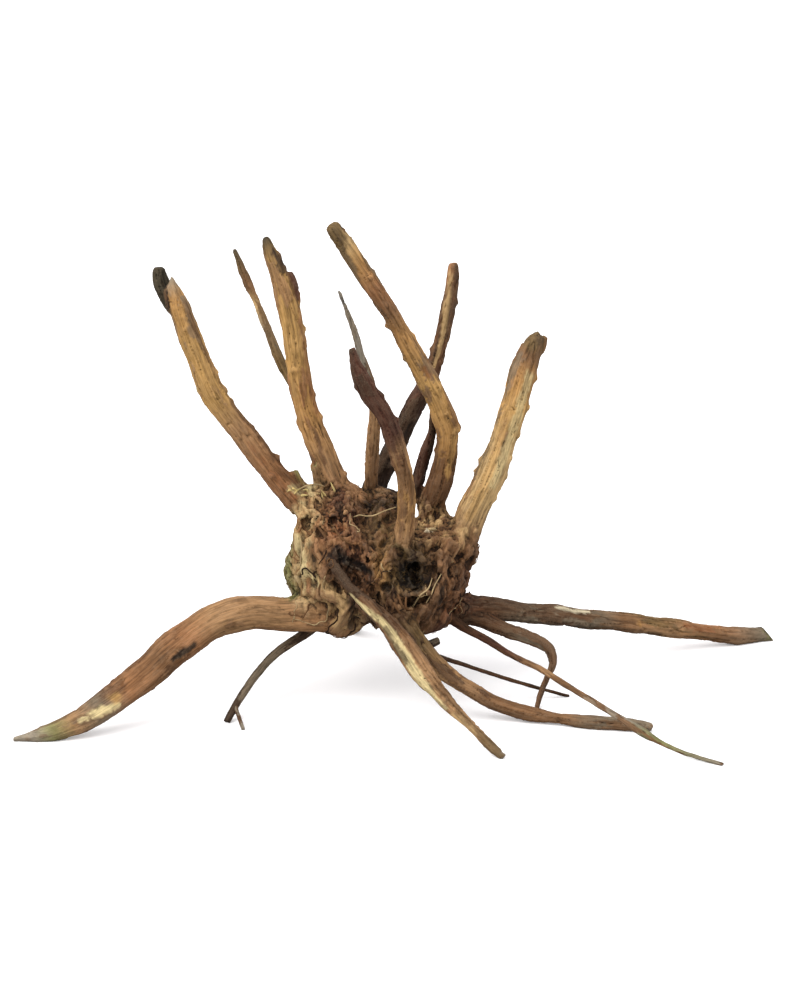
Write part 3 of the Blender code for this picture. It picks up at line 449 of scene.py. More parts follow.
# After each patch's route come its tone, its strength and how ragged its edge is.
PATCHES = (
    Patch("crescent", [
        (-57, -38, 95, 3.6), (-50, -44, 91, 4.2), (-41, -45, 87, 4.4), (-38, -46, 81, 4.4),
        (-40, -41, 71, 4.0), (-43, -36, 62, 3.4),
    ], PALE_TAN, 0.6, 0.15),
    Patch("behind_crescent", [(-31, -45, 82, 4.5), (-29, -42, 72, 5.0), (-31, -35, 60, 5.0)], DARK, 0.8),
    Patch("left_streak", [
        (-69, -26, 120, 3.0), (-67, -30, 107, 4.4), (-62, -35, 98, 4.2), (-57, -39, 92, 3.4),
    ], STRAW, 0.8, 0.5),
    Patch("left_lichen", [
        (-74, -20, 116, 4), (-77, -16, 104, 5), (-78, -12, 90, 6), (-73, -20, 76, 5),
    ], LICHEN, 0.8, 0.6),
    Patch("left_moss", [(-78, -8, 112, 3.6), (-80, -5, 98, 4.4), (-79, -4, 84, 4.6)], MOSS, 0.7, 0.6),
    Patch("top_chips", [(-74, -18, 153, 3), (-66, -13, 151, 3.6), (-60, -9, 150, 2.6)], STRAW, 0.75, 0.9),
    Patch("bright_chip", [(20, -16, 123, 2.2), (26, -15, 124.5, 2.2)], CHIP, 0.7, 0.5),
    Patch("golden_strip", [
        (-32, -56, 89, 1.3), (-23, -60, 81, 1.9), (-13, -65, 74, 2.6), (-5, -73, 67, 3.2),
        (2, -82, 58, 3.6), (9, -90, 49, 3.8), (16, -97, 40, 3.6), (24, -103, 32, 2.8), (30, -106, 27, 1.8),
    ], STRAW, 0.95, 0.12),
    # Darker bark along the branch's right side, partly painted shade on the side away from the light.
    Patch("upper_left_bark_and_shade", [
        (-55, -10, 136, 3.0), (-70, -14, 157, 3.2), (-85, -18, 177, 3.4), (-99, -21, 198, 3.2),
        (-112, -24, 215, 2.6),
    ], UMBER, 0.75, 0.45),
    Patch("upper_left_red", [
        (-70, -19, 145, 2.4), (-86, -24, 166, 2.6), (-101, -27, 188, 2.2),
    ], RUST, 0.38, 0.6),
    # Painted shade: a darker strip along the branch's right side.
    Patch("upper_left_shaded_edge", [
        (-121, -27, 228, 2.4), (-127, -31, 247, 2.6), (-134, -35, 266, 2.4), (-141, -38, 284, 2.0),
    ], BROWN, 0.65, 0.5),
    # Painted shade: a darker strip along the branch's right side.
    Patch("left_centre_shaded_edge", [
        (-57, 13, 200, 2.6), (-61, 14, 220, 2.8), (-63, 14, 240, 2.8), (-66, 13, 262, 2.4),
    ], CLAY, 0.7, 0.5),
    # Darker bark on the branch's right side, partly painted shade on the side away from the light.
    Patch("tall_bark_and_shade", [
        (-8, -37, 294, 2.6), (3, -33, 277, 3.4), (13, -27, 258, 3.4), (21, -21, 242, 2.6),
    ], BROWN, 0.75, 0.5),
    # Painted shade: a darker strip along the branch's right side.
    Patch("tall_shaded_edge", [(-30, -38, 324, 2.0), (-19, -33, 308, 2.4), (-7, -27, 288, 2.4)], UMBER, 0.7, 0.5),
    Patch("tall_tip", [(-37, -46, 325, 5.0), (-44, -49, 337, 6.5)], OLIVE, 0.75, 0.7),
    Patch("fork_tip", [(-150, -34, 283, 5.5), (-158, -29, 306, 9)], BLACKENED, 0.95, 0.3),
    Patch("knee_gold", [(-124, -32, 219, 6), (-128, -34, 232, 6)], HONEY, 0.6, 0.5),
    # Painted shade: a darker strip along the upper edge of the left root's foot.
    Patch("foot_upper_shaded_edge", [
        (-170, -56, 47, 2.6), (-184, -66, 38, 2.8), (-198, -76, 29, 3.0), (-214, -85, 20, 3.0),
        (-229, -91, 13, 2.8), (-242, -94, 8, 2.2),
    ], UMBER, 0.65, 0.5),
    # Painted shade: a darker strip along the lower edge of the left root's foot.
    Patch("foot_lower_shaded_edge", [
        (-160, -60, 30, 3.2), (-176, -73, 19, 3.2), (-192, -85, 10, 3.2), (-208, -92, 4, 2.6),
    ], UMBER, 0.6, 0.5),
    Patch("pale_cut", [
        (-212, -95, 15, 2.6), (-203, -93, 18, 3.6), (-195, -89, 20, 3.6), (-187, -85, 22, 2.2),
    ], STRAW, 0.95, 0.4),
    Patch("knot_shade", [(-196, -83, 29, 5.0), (-186, -78, 33, 4.6)], UMBER, 0.7, 0.5),
    Patch("knot_rim", [(-189, -84, 27, 4.6)], HONEY, 0.85, 0.3),
    Patch("knot", [(-189, -86, 27, 2.2)], UMBER, 0.9, 0.3),
    # Painted shade: a near-black slit where the left root shows a hole that its skin doesn't have.
    Patch("root_hole_shade", [
        (-152, -60, 45, 2.0), (-146, -57, 48.5, 3.0), (-139, -53, 52, 2.4),
    ], DEEP_SHADE, 0.92, 0.3),
    Patch("right_chip", [
        (112, 29, 52, 1.2), (121, 34, 49, 2.2), (130, 40, 45.5, 2.0), (138, 46, 42, 1.0),
    ], CHIP, 0.8, 0.35),
    Patch("right_knot_rim", [(176, 60, 30, 3.4)], OCHRE, 0.7, 0.4),
    Patch("right_knot", [(176, 59, 30, 1.4)], DARK, 0.8, 0.4),
    # Painted shade: a darker strip along the underside of the long right root.
    Patch("right_underside_shade", [
        (60, 4, 52, 3.4), (90, 17, 45, 3.2), (118, 31, 38, 3.0), (150, 50, 28, 2.8), (190, 68, 17, 2.6),
    ], DARK, 0.55, 0.6),
    Patch("orange_spot", [(212, 80, 20, 3.5), (230, 86, 15, 3.5)], RUST, 0.6, 0.5),
    Patch("right_end", [(276, 107, 4, 7)], LICHEN, 0.6, 0.4),
    # Darker bark along the branch's left side, partly painted shade.
    Patch("right_bark_and_shade", [
        (50, -5, 158, 3.2), (59, 2, 180, 3.4), (67, 8, 202, 3.8), (74, 14, 222, 4.2), (82, 18, 238, 4.2),
    ], GREY_BROWN, 0.75, 0.5),
    Patch("right_gold", [
        (48, -15, 132, 3.0), (58, -10, 152, 3.6), (68, -2, 178, 3.8), (76, 5, 202, 3.6),
    ], HONEY, 0.6, 0.5),
    # Pale wood on the branch's right side, partly painted light on its lit side.
    Patch("right_pale_and_lit", [
        (63, -6, 152, 3.4), (76, 1, 180, 4.2), (84, 7, 203, 4.4), (90, 14, 224, 4.0),
    ], STRAW, 0.6, 0.5),
    Patch("right_rust_upper", [(85, 14, 238, 3.0), (81, 10, 226, 3.0)], RUST, 0.8, 0.5),
    Patch("right_rust_lower", [(74, 4, 206, 2.4), (71, 1, 198, 2.4)], RUST, 0.7, 0.5),
    Patch("right_tip", [(91, 24, 243, 5.0), (96, 29, 252, 6.0)], OLIVE, 0.85, 0.6),
    Patch("rear_right_stripe", [
        (19, 56, 208, 1.2), (26.5, 60, 226, 1.7), (31, 64, 244, 1.7), (33.5, 67, 264, 2.6),
        (35, 70, 284, 3.0),
    ], PALE_TAN, 0.75, 0.4),
    # Painted shade: a darker strip along the branch's right side.
    Patch("rear_right_shaded_edge", [(41, 72, 290, 2.2), (42, 70, 272, 2.4), (38, 66, 250, 2.2)], DARK, 0.8, 0.4),
    # Painted light: the lit right side of the tall branch's knee.
    Patch("knee_lit_side", [(38, -9, 192, 3.0), (38, -6, 176, 3.2), (34, -3, 158, 3.0)], HONEY, 0.7, 0.5),
    Patch("knee_dark", [(41, -3, 195, 2.4), (40, 2, 186, 2.0)], UMBER, 0.8, 0.4),
    # Painted shade: the shaded left side of the tall branch below its knee.
    Patch("tall_shaded_left", [
        (26, -6, 190, 2.6), (24, -4, 176, 3.6), (22, -1, 160, 4.0), (17, -2, 144, 4.0),
    ], UMBER, 0.8, 0.4),
    Patch("tall_orange", [(17, -25, 238, 2.4), (20, -22, 232, 2.2)], RUST, 0.6, 0.5),
    Patch("left_centre_streak", [
        (-58, 6, 190, 1.4), (-55, 4, 178, 2.0), (-51, 1, 165, 1.8),
    ], UMBER, 0.8, 0.4),
    Patch("upper_left_spot", [(-81, -22, 166, 2.2)], DARK, 0.8, 0.4),
    Patch("knee_nub", [(-136, -27, 225, 3.2)], STRAW, 0.75, 0.4),
    Patch("hole_shade", [(-156, -60, 38, 3.4), (-144, -52, 44, 3.4)], UMBER, 0.55, 0.5),
    Patch("strip_shadow", [(-9, -68, 70, 1.8), (-2, -78, 60, 2.0), (5, -86, 52, 2.0)], DARK, 0.7, 0.3),
    Patch("front_pale_foot", [
        (36, -108, 23, 2.4), (44, -113, 17, 2.6), (50, -116, 13, 2.2),
    ], PALE_TAN, 0.7, 0.4),
    Patch("spur_red", [(-70, 15, 278, 3.0), (-71, 15, 290, 3.6), (-74, 17, 298, 3.0)], MAROON, 0.75, 0.4),
    Patch("split_black", [(-84, 10, 312, 2.2), (-80.5, 10, 304, 3.2), (-78, 11, 297, 2.6)], DARK, 0.9, 0.5),
    Patch("tall_spots", [(-39, -52, 333, 2.0), (-36, -50, 326, 1.6)], DARK, 0.85, 0.6),
    Patch("ragged_olive", [(94, 25, 243, 3.0), (99, 27, 250, 3.0)], DARK, 0.6, 0.9),
)


class Noise:
    """Smooth random values worked out from a formula, the same in every run."""

    # What scatters the bits of a cell's number.
    PRIMES = np.array([73856093, 19349663, 83492791])
    SEED_STEP = 2654435761
    SCATTER = (2246822519, 3266489917)
    WORD = 0xFFFFFFFF
    HALF_WORD = 0xFFFF
    DRAWS = (1, 5501, 9973, 15013)
    # What brings the values to about -1 to 1.
    SLOPE_GAIN = 1.8
    TILT_GAIN = 1.6
    LEVEL_GAIN = 1.3

    @staticmethod
    def smooth(points: Array, spacing: float | tuple[float, float, float], seed: int) -> Array:
        """Gradient noise: every corner of a grid has a random slope, and the slopes are blended.

        Args:
            points: Places, one row each.
            spacing: The grid's size, or its size along each axis.
            seed: Settles the slopes.

        Returns:
            One value from about -1 to 1 for each place.
        """
        scaled = points / np.array(spacing)
        cell = np.floor(scaled).astype(np.int64)
        part = scaled - cell
        fade = part ** 3 * (part * (part * 6 - 15) + 10)
        total = np.zeros(len(points))
        for corner in np.ndindex(2, 2, 2):
            key = Noise.key(cell + corner, seed)
            angle = (key & Noise.HALF_WORD) / Noise.HALF_WORD * 2 * np.pi
            height = (key >> 16) / Noise.HALF_WORD * 2 - 1
            level = np.sqrt(1 - height ** 2)
            apart = part - corner
            slope = (apart[:, 0] * level * np.cos(angle) + apart[:, 1] * level * np.sin(angle)
                     + apart[:, 2] * height)
            total += slope * np.prod(np.where(corner, fade, 1 - fade), axis=1)
        return Noise.SLOPE_GAIN * total

    @staticmethod
    def key(cells: Array, seed: int) -> Array:
        """A whole number of 32 scattered bits for each cell of the grid."""
        key = cells @ Noise.PRIMES + seed * Noise.SEED_STEP
        key = (key ^ (key >> 15)) * Noise.SCATTER[0] & Noise.WORD
        return (key ^ (key >> 13)) * Noise.SCATTER[1] & Noise.WORD

    @staticmethod
    def flakes(points: Array, spacing: float, seed: int) -> tuple[Array, Array, Array]:
        """Tilted flakes: each place belongs to the nearest of many scattered middles.

        Args:
            points: Places, one row each.
            spacing: About how wide a flake is.
            seed: Settles the middles, tilts and levels.

        Returns:
            The flake's height at each place, from about -1 to 1; how far the place is from the flake's
            edge, 0 on it; and a random number from 0 to 1 that the whole flake shares.
        """
        scaled = points / spacing
        cell = np.floor(scaled).astype(np.int64)
        first = np.full(len(points), np.inf)
        second = first.copy()
        facts = np.zeros((len(points), 7))
        for corner in np.ndindex(3, 3, 3):
            here = cell + corner - 1
            key = Noise.key(here, seed)
            draws = np.column_stack([(key * factor >> 7 & Noise.HALF_WORD) / Noise.HALF_WORD
                                     for factor in Noise.DRAWS])
            apart = scaled - here - draws[:, :3]
            away = np.linalg.norm(apart, axis=1)
            nearer = away < first
            second = np.where(nearer, first, np.minimum(second, away))
            first = np.where(nearer, away, first)
            facts[nearer] = np.column_stack([apart, draws])[nearer]
        tilt = np.sum(facts[:, :3] * (facts[:, 3:6] - 0.5), axis=1) * Noise.TILT_GAIN
        return tilt + Noise.LEVEL_GAIN * (facts[:, 6] - 0.5), second - first, facts[:, 6]


@dataclass(frozen=True)
class Flow:
    """Pushes places about by noise, so that a pattern on them wanders: how far, how broadly, and its seed."""

    reach: float
    spacing: float
    seed: int

    def of(self, points: Array) -> Array:
        """The places, each moved along every axis by noise of its own."""
        push = [Noise.smooth(points, self.spacing, self.seed + axis) for axis in (1, 2, 3)]
        return points + self.reach * np.column_stack(push)


@dataclass(frozen=True)
class Pattern:
    """A random pattern: its spacing, or one for each axis, its seed, and how far it is drawn out upwards."""

    spacing: float | tuple[float, float, float]
    seed: int
    tall: float = 1.0

    def drawn(self, points: Array) -> Array:
        """The places with their height divided by what the pattern is drawn out by."""
        return points / (1, 1, self.tall)

    def smooth(self, points: Array) -> Array:
        """Soft hills and dips, from about -1 to 1."""
        return Noise.smooth(self.drawn(points), self.spacing, self.seed)

    def ridges(self, points: Array) -> Array:
        """Sharp crests where the soft noise crosses 0: 1 on a crest and below 0 between crests."""
        return 1 - 2.4 * np.abs(self.smooth(points))

    def flakes(self, points: Array) -> tuple[Array, Array, Array]:
        """Tilted flakes: the height, the distance from the flake's edge and the flake's random number."""
        return Noise.flakes(self.drawn(points), self.spacing, self.seed)


# About the mean of a pattern's ridges.
RIDGE_MEAN = 0.3
# How the tint of fibres and moss changes over a piece.
SLOW_TINT = Pattern(9.0, 95)
SLOW_TINT_RANGE = 0.35


def step_up(values: Array, low: float, high: float) -> Array:
    """0 below the low value, 1 above the high one, and an S-curve between them."""
    share = np.clip((values - low) / (high - low), 0, 1)
    return share ** 2 * (3 - 2 * share)


def unit(vectors: Array) -> Array:
    """The vectors scaled to length 1."""
    return vectors / np.maximum(np.linalg.norm(vectors, axis=-1, keepdims=True), 1e-9)


def smooth_route(rows: Rows, step: float) -> Array:
    """A Catmull-Rom curve through the rows, read at even steps.

    Args:
        rows: Points on the route, with any further numbers that change along it.
        step: Wanted distance from one station to the next.

    Returns:
        One row for each station, with as many numbers as the given rows.
    """
    table = np.array(rows, dtype=float)
    if len(table) == 1:
        return table
    ends = np.vstack([2 * table[0] - table[1], table, 2 * table[-1] - table[-2]])
    before, start, stop, after = (ends[first:first + len(table) - 1, None] for first in range(4))
    share = np.linspace(0.0, 1.0, 12, endpoint=False)[None, :, None]
    curve = 0.5 * (
        2 * start + (stop - before) * share
        + (2 * before - 5 * start + 4 * stop - after) * share ** 2
        + (3 * start - before - 3 * stop + after) * share ** 3
    )
    fine = np.vstack([curve.reshape(-1, table.shape[1]), table[-1]])
    along = np.concatenate([[0], np.cumsum(np.linalg.norm(np.diff(fine[:, :3], axis=0), axis=1))])
    stations = np.linspace(0, along[-1], max(3, round(along[-1] / step) + 1))
    return np.column_stack([np.interp(stations, along, column) for column in fine.T])


def carried_axes(route: Array) -> tuple[Array, Array, Array]:
    """Axes that go along a route without turning about it.

    Args:
        route: Stations of the route.

    Returns:
        The direction of travel and two directions across it, one row for each station.
    """
    forward = unit(np.gradient(route[:, :3], axis=0))
    across = np.empty_like(forward)
    carried = np.array(Vector(forward[0]).orthogonal())
    for index, ahead in enumerate(forward):
        carried = unit(carried - ahead * (carried @ ahead))
        across[index] = carried
    return forward, across, np.cross(forward, across)


@dataclass
class Shell:
    """Closed surfaces gathered for one mesh."""

    points: list[Array] = field(default_factory=list)
    faces: list[Array] = field(default_factory=list)
    size: int = 0
    flute_turn: float = 210.0
    egg_rings: int = 32
    egg_sides: int = 48

    def add_rings(self, rings: Array) -> None:
        """Join rings of points into a closed surface, with a fan over each end.

        Args:
            rings: Points in the order ring, side, axis; a ring turns left about its way forward.
        """
        count, sides = rings.shape[:2]
        here = self.size + np.arange(count * sides).reshape(count, sides)
        beside = np.roll(here, -1, axis=1)
        first, last = self.size + count * sides, self.size + count * sides + 1
        corners = [
            (here[:-1], beside[:-1], beside[1:]), (here[:-1], beside[1:], here[1:]),
            (beside[0], here[0], np.full(sides, first)), (here[-1], beside[-1], np.full(sides, last)),
        ]
        self.faces += [np.stack(three, axis=-1).reshape(-1, 3) for three in corners]
        self.points += [rings.reshape(-1, 3), rings[0].mean(axis=0)[None], rings[-1].mean(axis=0)[None]]
        self.size += count * sides + 2

    def add_tube(self, rows: Rows, sides: int = 28, step: float = 2.0, oval: float = 0.09,
                 flute: float = 0.06) -> None:
        """Sweep a slightly oval, fluted tube: its radius is a sum of cosines of the angle round it.

        Args:
            rows: The route: x, y, z and radius.
            sides: Points round the tube.
            step: Distance between its rings.
            oval: Share of the radius that makes it oval.
            flute: Share of the radius in three flutes that wind slowly round it.
        """
        route = smooth_route(rows, step)
        _, across, beside = carried_axes(route)
        angle = 2 * np.pi * np.arange(sides) / sides
        winding = 2 * np.pi * np.arange(len(route))[:, None] * step / self.flute_turn
        reach = route[:, 3:4] * (1 + oval * np.cos(2 * angle) + flute * np.cos(3 * angle + winding))
        ring = (across[:, None] * np.cos(angle)[:, None] + beside[:, None] * np.sin(angle)[:, None])
        self.add_rings(route[:, None, :3] + ring * reach[..., None])

    def add_egg(self, centre: tuple[float, ...], half: tuple[float, ...], turn: float = 0.0) -> None:
        """An ellipsoid: rings of radius sin(t) at heights -cos(t), scaled and turned about Y.

        Args:
            centre: Its middle.
            half: Half its width, depth and height.
            turn: Its turn about the Y axis, in degrees.
        """
        tilt = np.linspace(0, np.pi, self.egg_rings + 2)[1:-1, None]
        angle = 2 * np.pi * np.arange(self.egg_sides)[None] / self.egg_sides
        ball = np.stack([np.sin(tilt) * np.cos(angle), np.sin(tilt) * np.sin(angle),
                         -np.cos(tilt) + 0 * angle], axis=-1)
        turned = np.array(Matrix.Rotation(math.radians(turn), 3, "Y"))
        self.add_rings((ball * half) @ turned.T + np.array(centre))

    def to_object(self, name: str) -> bpy.types.Object:
        """Make one object of all the surfaces."""
        mesh = bpy.data.meshes.new(name)
        mesh.from_pydata(np.vstack(self.points).tolist(), [], np.vstack(self.faces).tolist())
        made = bpy.data.objects.new(name, mesh)
        bpy.context.scene.collection.objects.link(made)
        return made


class Surface:
    """Reads and moves the points of an object's mesh as whole arrays."""

    def __init__(self, target: bpy.types.Object) -> None:
        """Keep the object."""
        self.target = target

    @property
    def mesh(self) -> bpy.types.Mesh:
        """The object's mesh."""
        return self.target.data

    def read(self, name: str) -> Array:
        """A three-number property of every point."""
        values = np.empty(len(self.mesh.vertices) * 3)
        self.mesh.vertices.foreach_get(name, values)
        return values.reshape(-1, 3)

    def move(self, points: Array) -> None:
        """Put the mesh's points at the given places."""
        self.mesh.vertices.foreach_set("co", points.ravel())
        self.mesh.update()

    def push(self, heights: Array) -> None:
        """Move every point along its normal by its height."""
        self.move(self.read("co") + self.read("normal") * heights[:, None])

    def settle(self) -> None:
        """Turn what the object's modifiers make into its own mesh."""
        evaluated = self.target.evaluated_get(bpy.context.evaluated_depsgraph_get())
        made = bpy.data.meshes.new_from_object(evaluated)
        old = self.target.data
        self.target.modifiers.clear()
        self.target.data = made
        bpy.data.meshes.remove(old)

    def remesh(self, grid: float) -> None:
        """Merge everything in the object into one skin on an even grid."""
        merge = self.target.modifiers.new("merge", "REMESH")
        merge.mode = "VOXEL"
        merge.voxel_size = grid
        self.settle()

    def carve(self, cutter: bpy.types.Object) -> None:
        """Cut another object away, and remove it from the scene."""
        boolean = self.target.modifiers.new("carve", "BOOLEAN")
        boolean.operation = "DIFFERENCE"
        boolean.object = cutter
        self.settle()
        bpy.data.objects.remove(cutter)

    def thin(self, triangles: int) -> None:
        """Keep about so many triangles, most of them where the skin bends."""
        self.mesh.calc_loop_triangles()
        thin = self.target.modifiers.new("thin", "DECIMATE")
        thin.ratio = min(1.0, triangles / len(self.mesh.loop_triangles))
        thin.use_collapse_triangulate = True
        self.settle()

    def neighbour_means(self) -> "Means":
        """What averages a value over each point's neighbours."""
        edges = np.empty(len(self.mesh.edges) * 2, dtype=np.int64)
        self.mesh.edges.foreach_get("vertices", edges)
        return Means(*edges.reshape(-1, 2).T, np.bincount(edges, minlength=len(self.mesh.vertices)))

    def round_creases(self, passes: int, outward: float = 0.6, inward: float = 0.12) -> None:
        """Fill the inner corners where limbs meet, and leave the outer sides nearly as they are."""
        means = self.neighbour_means()
        for _ in range(passes):
            points = self.read("co")
            move = means.of(points) - points
            rising = np.sum(move * self.read("normal"), axis=1) > 0
            self.move(points + move * np.where(rising, outward, inward)[:, None])

    def write(self, name: str, kind: str, values: Array) -> None:
        """Store one value for each point as a mesh attribute."""
        key = {"FLOAT": "value", "FLOAT_VECTOR": "vector", "FLOAT_COLOR": "color"}[kind]
        self.mesh.attributes.new(name, kind, "POINT").data.foreach_set(key, values.astype(np.float32).ravel())


@dataclass
class Means:
    """Averages values over the points that an edge joins to each point."""

    start: Array
    stop: Array
    count: Array

    def of(self, values: Array) -> Array:
        """The mean of each point's neighbours, for one column or several."""
        table = values.reshape(len(values), -1)
        mean = np.empty_like(table)
        for axis, column in enumerate(table.T):
            total = np.bincount(self.start, column[self.stop], len(table))
            total += np.bincount(self.stop, column[self.start], len(table))
            mean[:, axis] = total / np.maximum(self.count, 1)
        return mean.reshape(values.shape)

    def smoothed(self, values: Array, passes: int) -> Array:
        """The values after so many rounds of half-way averaging."""
        for _ in range(passes):
            values = 0.5 * values + 0.5 * self.of(values)
        return values


@dataclass
class Reading:
    """What the nearest limb says about each point of a skin."""

    limb: Array
    share: Array
    along: Array


@dataclass
class LimbField:
    """Finds the limb that each point of the skin belongs to, and the place along it.

    The places along two limbs are a set distance apart, so that no two limbs share their grain.
    """

    limbs: tuple[Limb, ...]
    step: float = 2.0
    limbs_apart: float = 400.0
    batch: int = 20000

    def __post_init__(self) -> None:
        """Read all routes at even steps, with the axes carried along each."""
        tables = []
        for index, limb in enumerate(self.limbs):
            route = smooth_route(limb.rows, self.step)
            forward, across, beside = carried_axes(route)
            run = np.concatenate([[0], np.cumsum(np.linalg.norm(np.diff(route[:, :3], axis=0), axis=1))])
            facts = [np.full(len(route), index), run / run[-1], run + self.limbs_apart * index]
            tables.append(np.column_stack([route, *facts, forward, across, beside]))
        self.stations = np.vstack(tables)

    def read(self, points: Array) -> Reading:
        """Find the station whose tube reaches nearest to each point.

        Args:
            points: Places, one row each.

        Returns:
            The limb, the share of its length, and the place across and along it.
        """
        places = self.stations[:, :3].astype(np.float32)
        near = np.empty(len(points), dtype=np.int64)
        for start in range(0, len(points), self.batch):
            some = points[start:start + self.batch].astype(np.float32)
            square = (some ** 2).sum(1)[:, None] + (places ** 2).sum(1) - 2 * some @ places.T
            away = np.sqrt(np.maximum(square, 0)) - self.stations[:, 3].astype(np.float32)
            near[start:start + self.batch] = np.argmin(away, axis=1)
        found = self.stations[near]
        offset = points - found[:, :3]
        forward, across, beside = found[:, 7:10], found[:, 10:13], found[:, 13:16]
        along = np.column_stack([
            np.sum(offset * across, axis=1), np.sum(offset * beside, axis=1),
            found[:, 6] + np.sum(offset * forward, axis=1),
        ])
        return Reading(found[:, 4].astype(int), found[:, 5], along)

    def tones(self, reading: Reading) -> tuple[Array, Array]:
        """The wood's colour and the bark's colour at each point."""
        wood = np.empty((len(reading.limb), 3))
        bark = np.empty_like(wood)
        for index, limb in enumerate(self.limbs):
            here = reading.limb == index
            wood[here] = blend_stops(limb.wood, reading.share[here])
            bark[here] = blend_stops(limb.bark, reading.share[here])
        return wood, bark

    def covers(self, reading: Reading) -> tuple[Array, Array, Array]:
        """At each point: the bark that is left, the grain's depth and how far the limb keeps its colours."""
        table = np.array([(limb.cover, limb.grain, limb.own) for limb in self.limbs])
        return tuple(table[reading.limb].T)


def blend_stops(stops: Stops, share: Array) -> Array:
    """The colour between the two stops around each share."""
    places = [place for place, _ in stops]
    colours = np.array([tone.linear() for _, tone in stops])
    return np.column_stack([np.interp(share, places, column) for column in colours.T])


def mix(first: Array, second: Array, share: Array) -> Array:
    """From the first value to the second as the share goes from 0 to 1."""
    return first + (second - first) * (share[:, None] if first.ndim == 2 else share)


